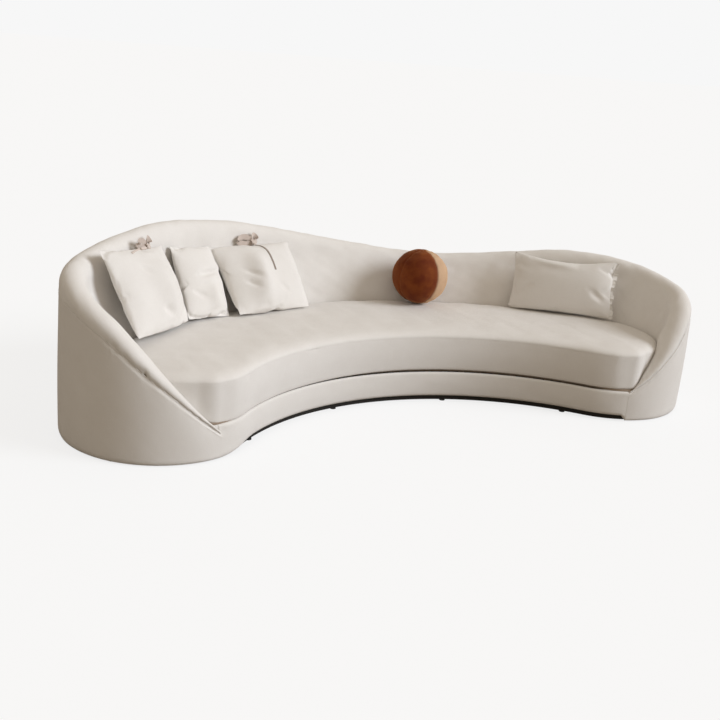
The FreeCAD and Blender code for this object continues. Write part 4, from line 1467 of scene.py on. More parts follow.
@dataclass
class SeatUpholstery:
    """The long crowned seat cushion and the dark deck under it."""

    seat: SeatPlan
    finishes: Finishes
    under_roll: float = 0.011
    extra_crown: float = 0.006
    seam_dip: float = 0.0006
    seam_gather: float = 0.0006
    front_bulge: float = 0.006
    front_fade: float = 0.25
    front_dip: float = 0.0112
    dip_start: float = 0.2
    dip_width: float = 1.0
    dip_reach: float = 0.06
    dip_height: float = 0.06
    gather_waves: Waves = Waves(51, 0.07)
    wall_gather: float = 0.016
    wall_groove: float = 0.004
    top_gather: float = 0.02
    top_groove: float = 0.003
    top_held: float = 0.08
    top_waves: Waves = Waves(61, 0.55, 0.0020)
    top_ripples: Waves = Waves(63, 0.16, 0.0005)
    swell_start: float = 0.05
    swell_reach: float = 0.25
    outline_pitch: float = 0.014
    past_middle: float = 9.0
    under_insets: tuple[float, ...] = (0.2, 0.08)
    wall_rings: int = 12
    wall_drop: float = 0.012
    seam_drops: tuple[float, ...] = (0.007, 0.003, 0.0)
    seam_insets: tuple[float, ...] = (0.004, 0.012, 0.03)
    crown_start: float = 0.06
    crown_rings: int = 14
    flat_start: float = 0.015
    flat_end: float = 0.31
    flat_rings: int = 11
    deck_turn: float = 0.3
    deck_ease: float = 0.05
    deck_under: float = 0.1
    deck_insets: tuple[float, ...] = (0.03, 0.12, 0.22)
    deck_setback: float = 0.026
    setback_fade: float = 0.2
    deck_roll: float = 0.005
    stitch_pitch: float = 0.0095
    stitch_length: float = 0.006
    stitch_drop: float = 0.010

    def outline(self, pitch: float, extra: float = 0.0) -> tuple[np.ndarray, np.ndarray, np.ndarray]:
        """Edge of the seat and the point of its middle line across from each point of it.

        Args:
            pitch: Spacing along the sofa's outline.
            extra: Further inset of the front edge.

        Returns:
            Stations, edge points and middle points.
        """
        plan = self.seat.plan
        count = round(plan.length / pitch)
        station = np.linspace(-plan.length / 2, plan.length / 2, count, endpoint=False)
        past = smooth_step(plan.past_tip(station) / self.setback_fade)
        edge = plan.place(station, self.seat.edge_depth(station) + extra * past)
        return station, edge, self.seat.spine(edge)

    def rings(self, levels: list[tuple[float, float]], extra: float = 0.0) -> tuple[np.ndarray, np.ndarray]:
        """Rings of points in from the edge.

        Args:
            levels: Inset from the edge and height of each ring; an inset past the middle line stops at it.
            extra: Further inset of the front edge.

        Returns:
            Points, and the station of each column.
        """
        station, edge, middle = self.outline(self.outline_pitch, extra)
        width = np.linalg.norm(middle - edge, axis=-1)
        reach = self.seat.crown_reach
        near = reach * self.seat.round_share(station)
        rows = []
        for inset, height in levels:
            past = (inset - reach) / (self.seat.depth / 2 - reach)
            inside = near * inset / reach if inset <= reach else near + (width - near) * past
            share = np.minimum(inside / width, 1.0)[:, None]
            plan = edge + (middle - edge) * share
            rows.append(np.column_stack([plan, np.full(len(station), height)]))
        return np.stack(rows), station

    def cushion(self) -> bpy.types.Object:
        """The crowned seat cushion.

        Returns:
            The piece.
        """
        seat = self.seat
        seam = seat.top - seat.crown
        levels: list[tuple[float, float]] = []
        panels: list[SeatPanel] = []
        for inset in (self.past_middle, *self.under_insets):
            levels.append((inset, seat.bottom))
            panels.append(SeatPanel.UNDER)
        for angle in np.radians(QUARTER_TURN[:0:-1]):
            lift = self.under_roll * (1 - math.sin(angle))
            levels.append((self.under_roll * (1 - math.cos(angle)), seat.bottom + lift))
            panels.append(SeatPanel.WALL)
        low = seat.bottom + self.under_roll
        heights = list(np.linspace(low, seam - self.wall_drop, self.wall_rings))
        heights += [seam - drop for drop in self.seam_drops]
        for height in heights:
            levels.append((0.0, float(height)))
            panels.append(SeatPanel.WALL)
        shares = np.concatenate([self.seam_insets, np.linspace(self.crown_start, 1.0, self.crown_rings)])
        beyond = np.linspace(seat.crown_reach + self.flat_start, self.flat_end, self.flat_rings)
        for inset in np.concatenate([seat.crown_reach * shares, beyond, [self.past_middle]]):
            levels.append((float(inset), seam + float(seat.rise(np.float64(inset)))))
            panels.append(SeatPanel.TOP)
        points, station = self.rings(levels)
        points = self.dressed(points, station, np.array([inset for inset, _ in levels]), panels)
        uvs = self.cut_panels(points, station, panels)
        mesh = grid_mesh("seat_cushion", points, uvs, capped=False)
        return smooth_object("seat_cushion", mesh, self.finishes.cloth)

    def dressed(
        self, points: np.ndarray, station: np.ndarray, insets: np.ndarray, panels: list[SeatPanel]
    ) -> np.ndarray:
        """The cushion's rings with its seam, its bulging front and the waves of worn upholstery.

        Args:
            points: Rings of points.
            station: Station of each column.
            insets: Inset of each ring.
            panels: Panel of each ring.

        Returns:
            The changed rings.
        """
        seat = self.seat
        seam = seat.top - seat.crown
        _, edge, middle = self.outline(self.outline_pitch)
        inward = middle - edge
        inward /= np.linalg.norm(inward, axis=-1, keepdims=True)
        past = seat.plan.past_tip(station)
        front = smooth_step(past / self.front_fade)
        result = points.copy()
        gathers = self.gather_waves.at(station, 0 * station) ** 2
        leftward = smooth_step((self.dip_start - edge[:, 0]) / self.dip_width)
        reach = smooth_step((past + self.dip_reach) / self.dip_reach)
        dip = reach * (self.front_dip * leftward)
        for number, panel in enumerate(panels):
            height = points[number, 0, 2]
            if panel is SeatPanel.WALL:
                share = np.clip((height - seat.bottom) / (seam - seat.bottom), 0.0, 1.0)
                out = self.front_bulge * math.sin(math.pi * share) * front
                near = math.exp(-(((height - seam) / self.wall_gather) ** 2))
                groove = self.seam_dip * math.exp(-(((height - seam) / self.wall_groove) ** 2))
                pull = groove + self.seam_gather * gathers * near
                result[number, :, :2] += inward * (pull - out)[:, None]
                fade = 1 - float(smooth_step(np.float64((height - seat.bottom) / self.dip_height)))
                result[number, :, 2] -= dip * fade
            elif panel is SeatPanel.TOP:
                inset = insets[number]
                full = smooth_step(np.float64((inset - self.swell_start) / self.swell_reach))
                swell = self.extra_crown * float(full)
                place = points[number, :, :2]
                loose = self.top_waves.at(place[:, 0], place[:, 1])
                loose += self.top_ripples.at(place[:, 0], place[:, 1])
                held = float(smooth_step(np.float64(inset / self.top_held)))
                near = math.exp(-((inset / self.top_gather) ** 2))
                groove = self.seam_dip * math.exp(-((inset / self.top_groove) ** 2))
                result[number, :, 2] += swell + loose * held - self.seam_gather * gathers * near - groove
        return result

    @staticmethod
    def cut_panels(points: np.ndarray, station: np.ndarray, panels: list[SeatPanel]) -> np.ndarray:
        """Cloth coordinates: flat panels follow the plan, and the wall follows the edge.

        Args:
            points: Rings of points.
            station: Station of each column.
            panels: Panel of each ring.

        Returns:
            Coordinates in metres, with one column more than the points.
        """
        closed = np.concatenate([points, points[:, :1]], axis=1)
        around = np.append(station, 2 * station[-1] - station[-2])
        uvs = closed[..., :2].copy()
        for number, panel in enumerate(panels):
            if panel is SeatPanel.WALL:
                uvs[number] = np.stack([around, closed[number, :, 2]], axis=-1)
        return uvs

    def deck(self) -> bpy.types.Object:
        """Firm pad in dark decking cloth, seen as the gap over the front band.

        Returns:
            The piece.
        """
        low, high = (corner.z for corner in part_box("deck_pad"))
        roll = self.deck_roll
        turn = roll * self.deck_turn
        levels = [(inset, low) for inset in (self.past_middle, self.deck_under, roll)]
        levels += [(turn, low + turn), (0.0, low + roll), (0.0, high - roll), (turn, high - turn)]
        levels += [(roll, high - roll * self.deck_ease)]
        levels += [(inset, high) for inset in (*self.deck_insets, self.past_middle)]
        points, station = self.rings(levels, self.deck_setback)
        uvs = self.cut_panels(points, station, [SeatPanel.TOP] * len(levels))
        mesh = grid_mesh("seat_deck", points, uvs, capped=False)
        return smooth_object("seat_deck", mesh, self.finishes.decking)

    def seam_line(self, pitch: float) -> np.ndarray:
        """Points just under the seam at the seat's top edge, all round."""
        _, edge, _ = self.outline(pitch)
        height = self.seat.top - self.seat.crown - self.stitch_drop
        line = np.column_stack([edge, np.full(len(edge), height)])
        return np.concatenate([line, line[:1]])

    def build(self) -> None:
        """Build the pieces and hand them to the frame."""
        cushion = self.cushion()
        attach(cushion, "seat")
        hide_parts("seat_cover", "seat_foam")
        deck = self.deck()
        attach(deck, "sofa")
        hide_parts("deck_pad")
        row = Stitches("seat_stitches", length=self.stitch_length, pitch=self.stitch_pitch)
        row.build(self.seam_line(self.stitch_pitch), self.finishes.thread, "seat")


# Loose cushions


@dataclass(frozen=True)
class Crease:
    """A fold between two places on a cushion's face: sunk, or raised where its depth is negative."""

    start: tuple[float, float]
    end: tuple[float, float]
    depth: float
    width: float


@dataclass(frozen=True)
class Pull:
    """A corner drawn out of a cushion's plain shape; sides and ends are -1 or 1."""

    side: int
    end: int
    out: float
    rise: float


@dataclass
class ScatterCushion:
    """A stuffed square cushion that leans on the back; angles are in degrees."""

    name: str
    width: float
    height: float
    thickness: float
    bearing: float
    lean: float
    swing: float
    tilt: float
    seed: int
    ease: float = 1.13
    pitch: float = 0.0095
    creases: tuple[Crease, ...] = ()
    pulls: tuple[Pull, ...] = ()
    top_sag: float = 0.008
    drawn_in: float = 0.020
    dome: float = 0.62
    ease_rounds: int = 9
    loft: float = 0.30
    unevenness: float = 0.002
    longest_wave: float = 0.9
    trim: float = 0.035
    ears: float = 0.012
    square_levels: int = 41
    sag_start: float = 0.3
    crease_ends: float = 0.06
    clearance: float = 0.003
    ray_height: float = 0.3
    edge_low: float = -0.97
    edge_high: float = 0.93
    edge_levels: int = 24
    edge_reach: float = 0.05
    edge_rounds: int = 3
    piece: bpy.types.Object = field(init=False)

    def flat_case(self) -> None:
        """Make the case before it is filled: two sheets in the XY plane, sewn round their edge."""
        wide, tall = self.width * self.ease, self.height * self.ease
        columns, rows = round(wide / self.pitch), round(tall / self.pitch)
        across, up = np.meshgrid(np.linspace(-1, 1, columns + 1), np.linspace(-1, 1, rows + 1))
        edge = np.maximum(np.abs(across), np.abs(up)) > 1 - TINY
        loft = self.loft * self.thickness * np.sqrt(np.clip((1 - across ** 4) * (1 - up ** 4), 0, 1))
        uneven = Waves(self.seed, self.longest_wave, self.unevenness).at(across, up)
        ears = 1 + self.ears * (across * up) ** 2
        trim_across = 1 - self.trim * (1 - up ** 2) * np.abs(across) ** 3
        trim_up = 1 - self.trim * (1 - across ** 2) * np.abs(up) ** 3
        x = across * wide / 2 * trim_across * ears
        y = up * tall / 2 * trim_up * ears
        front = np.stack([x, y, np.where(edge, 0.0, loft + uneven)], axis=-1)
        back = np.stack([x, y, np.where(edge, 0.0, -loft + uneven)], axis=-1)
        number = np.arange((columns + 1) * (rows + 1)).reshape(rows + 1, columns + 1)
        cells = [number[:-1, :-1], number[:-1, 1:], number[1:, 1:], number[1:, :-1]]
        quads = np.stack(cells, axis=-1).reshape(-1, 4)
        offset = number.size
        faces = quads.tolist() + (quads[:, ::-1] + offset).tolist()
        mesh = bpy.data.meshes.new(self.name)
        mesh.from_pydata(np.concatenate([front.reshape(-1, 3), back.reshape(-1, 3)]).tolist(), [], faces)
        flat = np.stack([x, y], axis=-1).reshape(-1, 2)
        corners = np.concatenate([flat[quads].reshape(-1, 2), flat[quads[:, ::-1]].reshape(-1, 2)])
        layer = mesh.uv_layers.new(name=CLOTH_UV)
        layer.uv.foreach_set("vector", corners.astype(np.float32).ravel())
        at_corner = np.minimum(np.abs(across), np.abs(up)) > 1 - TINY
        sewn = (edge.astype(np.float32) + at_corner).ravel()
        mark = mesh.attributes.new(SEWN, "FLOAT", "POINT")
        mark.data.foreach_set("value", np.concatenate([sewn, sewn]).astype(np.float32))
        close_mesh(mesh)
        self.piece = linked(self.name, mesh)

    def fill(self) -> None:
        """Set up the cloth that swells the case."""
        cloth = self.piece.modifiers.new("filling", "CLOTH")
        for key, setting in FILLING.items():
            setattr(cloth.settings, key, setting)
        cloth.settings.effector_weights.gravity = 0
        cloth.collision_settings.use_collision = False
        cloth.collision_settings.use_self_collision = False

    def settle_mesh(self) -> None:
        """Keep the swollen shape as the piece's own mesh."""
        ready = self.piece.evaluated_get(bpy.context.evaluated_depsgraph_get())
        mesh = bpy.data.meshes.new_from_object(ready)
        self.piece.modifiers.clear()
        old = self.piece.data
        self.piece.data = mesh
        bpy.data.meshes.remove(old)

    def axes(self) -> tuple[np.ndarray, np.ndarray, np.ndarray]:
        """Unit vectors across, up and out of the front of the stood cushion."""
        facing = math.radians(self.bearing + self.swing)
        slope = math.radians(self.lean)
        back = np.array([math.sin(facing), math.cos(facing), 0.0])
        rise = np.array([0.0, 0.0, 1.0])
        up = rise * math.cos(slope) + back * math.sin(slope)
        front = rise * math.sin(slope) - back * math.cos(slope)
        across = np.cross(up, front)
        turn = math.radians(self.tilt)
        tilted = across * math.cos(turn) + up * math.sin(turn)
        return tilted, up * math.cos(turn) - across * math.sin(turn), front

    def centre(self) -> np.ndarray:
        """Middle of the cushion in the frame."""
        low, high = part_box(self.name + "_cover")
        return np.array((low + high) / 2)

    def eased(self, points: np.ndarray) -> np.ndarray:
        """Points of the swollen case with its wrinkles eased; the sewn edge eases only along itself."""
        mesh = self.piece.data
        pairs = np.empty(len(mesh.edges) * 2, dtype=np.int32)
        mesh.edges.foreach_get("vertices", pairs)
        pairs = pairs.reshape(-1, 2)
        pairs = np.concatenate([pairs, pairs[:, ::-1]])
        sewn = np.empty(len(mesh.vertices), dtype=np.float32)
        mesh.attributes[SEWN].data.foreach_get("value", sewn)
        pairs = pairs[(sewn[pairs[:, 0]] < SEWN_EDGE) | (sewn[pairs[:, 1]] > SEWN_EDGE)]
        count = np.maximum(np.bincount(pairs[:, 0], minlength=len(points)), 1)
        share = np.where(sewn > SEWN_CORNER, 0.0, 0.5)[:, None]
        result = points.copy()
        for _ in range(self.ease_rounds):
            near = result[pairs[:, 1]]
            mean = [np.bincount(pairs[:, 0], near[:, axis], len(points)) / count for axis in range(3)]
            result += share * (np.stack(mean, axis=-1) - result)
        return result

    def squared(self, sized: np.ndarray) -> np.ndarray:
        """Points of the sized case with its drawn-in sides let out until they are nearly straight."""
        result = sized.copy()
        levels = np.linspace(-1.0, 1.0, self.square_levels)
        sides = [(0, self.width, self.height), (1, self.height, self.width)]
        for axis, size, other in sides + sides[:1]:
            place = np.clip(result[:, 1 - axis] / (other / 2), -1.0, 1.0)
            bins = np.rint((place + 1) * (self.square_levels // 2)).astype(int)
            wanted = size / 2 * (1 - self.drawn_in * (1 - levels ** 2))
            for side in (-1, 1):
                mine = side * result[:, axis] > 0
                reach = np.zeros(len(levels))
                np.maximum.at(reach, bins[mine], side * result[mine, axis])
                factor = np.where(reach > size / 4, wanted / np.maximum(reach, size / 4), 1.0)
                for _ in range(3):
                    factor = np.convolve(np.pad(factor, 1, mode="edge"), (0.25, 0.5, 0.25), mode="valid")
                result[mine, axis] *= np.interp(place[mine], levels, factor)
        return result

    def fitted(self, points: np.ndarray) -> np.ndarray:
        """Points of the swollen case, sized to the cushion and creased, still in the cushion's own axes."""
        points = self.eased(points)
        low, high = points.min(axis=0), points.max(axis=0)
        size = np.array([self.width, self.height, self.thickness])
        sized = self.squared((points - (low + high) / 2) * size / (high - low))
        across, up = sized[:, 0] / (self.width / 2), sized[:, 1] / (self.height / 2)
        wide = np.clip(1 - np.abs(across) ** 2.0, 0.0, 1.0)
        tall = np.clip(1 - np.abs(up) ** 2.0, 0.0, 1.0)
        full = np.sign(sized[:, 2]) * self.thickness / 2 * np.sqrt(wide * tall)
        sized[:, 2] += self.dome * (full - sized[:, 2])
        for pull in self.pulls:
            share = (1 + pull.side * across) * (1 + pull.end * up) / 4
            sized[:, :2] += np.clip(share, 0.0, 1.0)[:, None] ** 3 * np.array([pull.out, pull.rise])
        upper = smooth_step((up + self.sag_start) / (1 + self.sag_start))
        sized[:, 1] -= self.top_sag * np.clip(1 - across ** 2, 0.0, 1.0) * upper
        for crease in self.creases:
            start, end = np.array(crease.start), np.array(crease.end)
            along = end - start
            share = np.clip((sized[:, :2] - start) @ along / (along @ along), 0.0, 1.0)
            away = np.linalg.norm(sized[:, :2] - (start + share[:, None] * along), axis=1)
            fade = np.sin(math.pi * np.clip(share, self.crease_ends, 1 - self.crease_ends))
            sunk = crease.depth * fade * np.exp(-((away / crease.width) ** 2))
            sized[:, 2] -= np.where(sized[:, 2] > 0, sunk, 0.0)
        return sized

    def stand(self, upholstery: BackUpholstery) -> None:
        """Stand the cushion on the seat against the back, pressed flat where it touches.

        Args:
            upholstery: The back that it leans on.
        """
        mesh = self.piece.data
        sized = self.fitted(places_of(mesh).astype(float))
        across, up, front = self.axes()
        stood = self.centre() + sized @ np.stack([across, up, front])
        seat = upholstery.seat
        floor = seat.surface(stood[:, :2]) + self.clearance
        stood[:, 2] = np.maximum(stood[:, 2], floor)
        station, depth = seat.plan.find(stood[:, :2])
        short = upholstery.inner_face(station, stood[:, 2]) + self.clearance - depth
        inward = seat.plan.place(station, depth + 1.0) - seat.plan.place(station, depth)
        stood[:, :2] += inward * np.maximum(short, 0.0)[:, None]
        mesh.vertices.foreach_set("co", stood.astype(np.float32).ravel())
        mesh.update()

    def local(self, points: np.ndarray) -> np.ndarray:
        """Places in the frame of points given across, up and out from the cushion's middle."""
        return self.centre() + points @ np.stack(self.axes())

    def laid(self, line: np.ndarray, lift: float) -> np.ndarray:
        """A line laid on the cushion's front face.

        Args:
            line: Points across, up and out from the cushion's middle; the last holds where there is no face.
            lift: How far over the face the line lies.

        Returns:
            The line with its points on the face.
        """
        tree = BVHTree.FromObject(self.piece, bpy.context.evaluated_depsgraph_get())
        front = self.axes()[2]
        result = line.copy()
        for number, start in enumerate(self.local(line + np.array([0.0, 0.0, self.ray_height]))):
            place, _, _, distance = tree.ray_cast(Vector(start), Vector(-front))
            if place is not None:
                result[number, 2] = line[number, 2] + self.ray_height - distance + lift
        return result

    def side_edge(self, side: int, share: np.ndarray) -> np.ndarray:
        """Points of the sewn edge along a short side, in the cushion's own axes.

        Args:
            side: -1 for the left, 1 for the right.
            share: Places along the side, from -1 at the bottom to 1 at the top.

        Returns:
            Points across, up and out from the cushion's middle.
        """
        own = (places_of(self.piece.data) - self.centre()) @ np.stack(self.axes()).T
        height = own[:, 1] / (self.height / 2)
        edge = []
        for level in np.linspace(self.edge_low, self.edge_high, self.edge_levels):
            near = own[np.abs(height - level) < self.edge_reach]
            edge.append(near[np.argmax(side * near[:, 0])])
        line = softened(np.array(edge), self.edge_rounds)
        known = np.linspace(-1.0, 1.0, len(line))
        return np.stack([np.interp(share, known, line[:, axis]) for axis in range(3)], axis=-1)

    def build(self, upholstery: BackUpholstery, finishes: Finishes) -> None:
        """Finish the swollen cushion and hand it to the frame.

        Args:
            upholstery: The back that it leans on.
            finishes: The sofa's finishes.
        """
        self.settle_mesh()
        self.stand(upholstery)
        mesh = self.piece.data
        mesh.materials.append(finishes.cloth)
        mesh.polygons.foreach_set("use_smooth", np.ones(len(mesh.polygons), dtype=bool))
        finer = self.piece.modifiers.new("finer", "SUBSURF")
        finer.levels = 1
        finer.render_levels = 1
        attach(self.piece, self.name)
        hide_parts(self.name + "_cover", self.name + "_filling")
        LOG.info("%s: %d faces", self.name, len(mesh.polygons))


def swell_cases(cushions: list[ScatterCushion], steps: int) -> None:
    """Swell every cushion's case in one run of the simulation.

    Args:
        cushions: The cushions, each with its flat case made.
        steps: Frames to step through.
    """
    for cushion in cushions:
        cushion.flat_case()
        cushion.fill()
    scene = bpy.context.scene
    scene.frame_start, scene.frame_end = 1, steps
    for frame in range(1, steps + 1):
        scene.frame_set(frame)


@dataclass
class BallCushion:
    """Round velvet cushion sewn from a few gores."""

    finishes: Finishes
    gores: int = 4
    seam_depth: float = 0.0045
    seam_width: float = 0.0075
    first_seam: float = 10.5
    pole_tilt: float = 5.0
    # The gore towards the key light, painted paler as a painted sheen.
    sheen_gore: int = 3
    sheen_edge: float = 0.06
    rows: int = 73
    columns: int = 144
    plumpness: float = 0.004
    waves: Waves = Waves(71, 2.4, 0.0012)
    size_share: float = 0.996
    inset: float = 0.004
    clearance: float = 0.002

    def build(self, seat: SeatPlan) -> None:
        """Build the ball and hand it to the frame.

        Args:
            seat: The seat that it lies on.
        """
        low, high = (np.array(corner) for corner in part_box("ball_cushion"))
        centre, radius = (low + high) / 2, float((high - low).max()) / 2
        height = np.linspace(0, math.pi, self.rows)[1:-1]
        turn = np.linspace(0, 2 * math.pi, self.columns, endpoint=False)
        polar, around = np.meshgrid(height, turn, indexing="ij")
        gore = 2 * math.pi / self.gores
        from_seam = np.abs((around + gore / 2) % gore - gore / 2) * np.sin(polar) * radius
        sunk = self.seam_depth * np.exp(-((from_seam / self.seam_width) ** 2))
        plump = self.plumpness * np.cos(self.gores * around) * np.sin(polar) ** 2
        lumps = self.waves.at(around * np.sin(polar), polar)
        reach = radius * self.size_share - sunk - plump + lumps - self.inset
        ring = reach * np.sin(polar)
        points = np.stack([ring * np.cos(around), ring * np.sin(around), reach * np.cos(polar)], axis=-1)
        tilt = np.array(Matrix.Rotation(math.radians(self.pole_tilt), 3, "Y"))
        spin = np.array(Matrix.Rotation(math.radians(self.first_seam), 3, "Z"))
        points = points @ (tilt @ spin).T + centre
        floor = seat.surface(points[..., :2]) + self.clearance
        points[..., 2] = np.maximum(points[..., 2], floor)
        uvs = np.stack([np.concatenate([around, around[:, :1] + 2 * math.pi], axis=1) * radius,
                        np.concatenate([polar, polar[:, :1]], axis=1) * radius], axis=-1)
        mesh = grid_mesh("ball", points, uvs)
        self.paint_sheen(mesh, centre, tilt @ spin)
        ball = smooth_object("ball", mesh, self.finishes.velvet)
        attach(ball, "ball_cushion")
        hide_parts("ball_cushion")

    def paint_sheen(self, mesh: bpy.types.Mesh, centre: np.ndarray, turn: np.ndarray) -> None:
        """Keep on each point how much painted sheen it takes: the gore towards the key light is painted
        paler.

        Args:
            mesh: The ball's mesh.
            centre: The ball's middle.
            turn: The ball's turn from its own axes.
        """
        own = (places_of(mesh) - centre) @ turn
        gore = np.arctan2(own[:, 1], own[:, 0]) / (2 * math.pi) * self.gores % self.gores - self.sheen_gore
        inside = smooth_step(gore / self.sheen_edge) * smooth_step((1 - gore) / self.sheen_edge)
        painted_sheen = mesh.attributes.new(PAINTED_SHEEN, "FLOAT", "POINT")
        painted_sheen.data.foreach_set("value", inside.astype(np.float32))


# Ribbons, ruffles and hidden cloth


@dataclass(frozen=True)
class Band:
    """A flat strip of cloth along a line."""

    line: np.ndarray
    lie: np.ndarray
    width: float
    thickness: float
    shares: tuple[float, ...] = (1.0, 0.4, -0.4, -1.0)

    @property
    def length(self) -> float:
        """Length of the strip."""
        return float(np.linalg.norm(np.diff(self.line, axis=0), axis=1).sum())

    def rings(self) -> np.ndarray:
        """Rings of points across the strip, in order along it."""
        tangent = np.gradient(self.line, axis=0)
        tangent /= np.linalg.norm(tangent, axis=1, keepdims=True)
        lie = self.lie - np.sum(tangent * self.lie, axis=1, keepdims=True) * tangent
        lie /= np.linalg.norm(lie, axis=1, keepdims=True)
        face = np.cross(tangent, lie) * self.thickness / 2
        across = [share * self.width / 2 for share in self.shares]
        upper = [self.line + lie * reach + face for reach in across]
        lower = [self.line + lie * reach - face for reach in reversed(across)]
        return np.stack(upper + lower, axis=1)

    def mesh(self, name: str) -> bpy.types.Mesh:
        """Closed mesh of the strip, with cloth coordinates along and across it.

        Args:
            name: The mesh's name.

        Returns:
            The mesh.
        """
        points = self.rings()
        return grid_mesh(name, points, cut_strip(distances(self.line), points))


@dataclass(frozen=True)
class Ribbon:
    """One run of ribbon on a cushion, in the cushion's own axes: across, up and out from its middle."""

    name: str
    points: tuple[tuple[float, float, float], ...]
    lie: tuple[float, float, float]
    width: float
    on_face: bool = False
    thickness: float = 0.0014
    fineness: int = 12

    def build(self, cushion: ScatterCushion, material: bpy.types.Material) -> None:
        """Build the ribbon and hand it to the frame.

        Args:
            cushion: The cushion that it is tied to.
            material: Its finish.
        """
        line = flowing(self.points, self.fineness * len(self.points))
        if self.on_face:
            line = cushion.laid(line, self.thickness)
        axes = np.stack(cushion.axes())
        band = Band(cushion.local(line), np.array(self.lie) @ axes, self.width, self.thickness)
        piece = smooth_object(self.name, band.mesh(self.name), material)
        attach(piece, cushion.name)
        band.length


@dataclass(frozen=True)
class Ruffle:
    """Gathered edging along one short side of a cushion; the side is -1 or 1."""

    side: int
    width: float = 0.020
    folds: int = 6
    swing: float = 0.005
    thickness: float = 0.0012
    rows: int = 240
    seed: int = 81
    longest: float = 0.5
    wander: float = 2.6
    mean_reach: float = 0.8
    reach_vary: float = 0.45
    overlap: float = 0.004
    rise: float = 0.006
    reaches: tuple[float, ...] = (0.0, 0.35, 0.7, 1.0)

    def build(self, cushion: ScatterCushion, material: bpy.types.Material) -> None:
        """Build the ruffle and hand it to the frame.

        Args:
            cushion: The cushion that it edges.
            material: Its finish.
        """
        share = np.linspace(-1.0, 1.0, self.rows)
        edge = cushion.side_edge(self.side, share)
        uneven = Waves(self.seed + self.side, self.longest).at(share, 0 * share)
        phase = math.pi * self.folds * share + self.wander * uneven
        wave, sway = np.sin(phase), np.cos(phase)
        layers = []
        for lift, reaches in ((0.5, self.reaches), (-0.5, self.reaches[::-1])):
            for reach in reaches:
                wide = reach * self.width * (self.mean_reach + self.reach_vary * uneven)
                out = self.side * (wide - self.overlap)
                up = self.rise * reach * sway
                face = self.swing * reach * wave + lift * self.thickness
                layers.append(edge + np.stack([out, up, face], axis=-1))
        local = np.stack(layers, axis=1)
        points = cushion.local(local.reshape(-1, 3)).reshape(local.shape)
        uvs = cut_strip(distances(local[:, 2]), local)
        word = "left" if self.side < 0 else "right"
        name = f"{cushion.name}_ruffle_{word}"
        piece = smooth_object(name, grid_mesh(name, points, uvs), material)
        area = sum(face.area for face in piece.data.polygons) / 2
        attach(piece, cushion.name)
        area / self.width


@dataclass
class UnderCloths:
    """Dust cloth under the boards, and the elastic straps that carry the deck."""

    seat: SeatPlan
    finishes: Finishes
    dust_inset: float = 0.0430
    dust_sag: float = 0.005
    dust_thickness: float = 0.0010
    dust_points: int = 720
    strap_width: float = 0.060
    strap_pitch: float = 4.0
    strap_count: int = 21
    strap_sag: float = 0.004
    rail_inset: float = 0.0105
    board_gap: float = 0.0004
    dust_rings: tuple[float, ...] = (0.0, 0.15, 0.4, 0.7, 1.0)
    strap_points: int = 13

    def dust_cloth(self) -> bpy.types.Object:
        """Thin cloth stretched under the boards, a little slack in its middle.

        Returns:
            The piece.
        """
        plan = self.seat.plan
        station = np.linspace(-plan.length / 2, plan.length / 2, self.dust_points, endpoint=False)
        edge = plan.place(station, np.full_like(station, self.dust_inset))
        middle = self.seat.spine(edge)
        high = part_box("dust_cloth")[1].z - self.board_gap
        rows = []
        for lift, shares in ((-self.dust_thickness, self.dust_rings[::-1]), (0.0, self.dust_rings)):
            for share in shares:
                slack = self.dust_sag * (1 - (1 - share) ** 2)
                level = np.full(len(station), high + lift - slack)
                rows.append(np.column_stack([edge + (middle - edge) * share, level]))
        points = np.stack(rows)
        closed = np.concatenate([points, points[:, :1]], axis=1)
        mesh = grid_mesh("dust_cover", points, closed[..., :2].copy(), capped=False)
        return smooth_object("dust_cover", mesh, self.finishes.lining)

    def straps(self) -> tuple[bpy.types.Object, float]:
        """Elastic straps from the front rail to the seat rail.

        Returns:
            The piece, and the straps' whole length.
        """
        plan = self.seat.plan
        low, high = (corner.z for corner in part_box("seat_webbing"))
        half = self.strap_width / 2
        near = math.hypot(plan.front_radius + self.rail_inset, half)
        outer = self.seat.middle_radius + self.seat.depth / 2 - self.seat.clearance
        far = math.sqrt(outer ** 2 - half ** 2)
        share = np.linspace(0.0, 1.0, self.strap_points)
        thickness = high - low - self.board_gap
        work = bmesh.new()
        total = 0.0
        for number in range(self.strap_count):
            bearing = math.radians((number - (self.strap_count - 1) / 2) * self.strap_pitch)
            radius = near + (far - near) * share
            flat = plan.arc_point(radius, np.full_like(radius, bearing))
            level = (low + high) / 2 - self.strap_sag * np.sin(math.pi * share)
            across = np.array([math.cos(bearing), -math.sin(bearing), 0.0])
            band = Band(np.column_stack([flat, level]), across, self.strap_width, thickness)
            total += band.length
            mesh = band.mesh("strap")
            work.from_mesh(mesh)
            bpy.data.meshes.remove(mesh)
        joined = bpy.data.meshes.new("deck_straps")
        work.to_mesh(joined)
        work.free()
        return smooth_object("deck_straps", joined, self.finishes.strap), total

    def build(self) -> None:
        """Build the pieces and hand them to the frame."""
        plan = self.seat.plan
        dust = self.dust_cloth()
        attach(dust, "sofa")
        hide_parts("dust_cloth")
        inner = plan.front_radius + self.dust_inset
        outer = plan.back_radius - self.dust_inset
        area = (outer ** 2 - inner ** 2) * plan.sweep + math.pi * ((outer - inner) / 2) ** 2
        straps, length = self.straps()
        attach(straps, "sofa")
        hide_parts("seat_webbing")


# Frame pieces that keep their solids


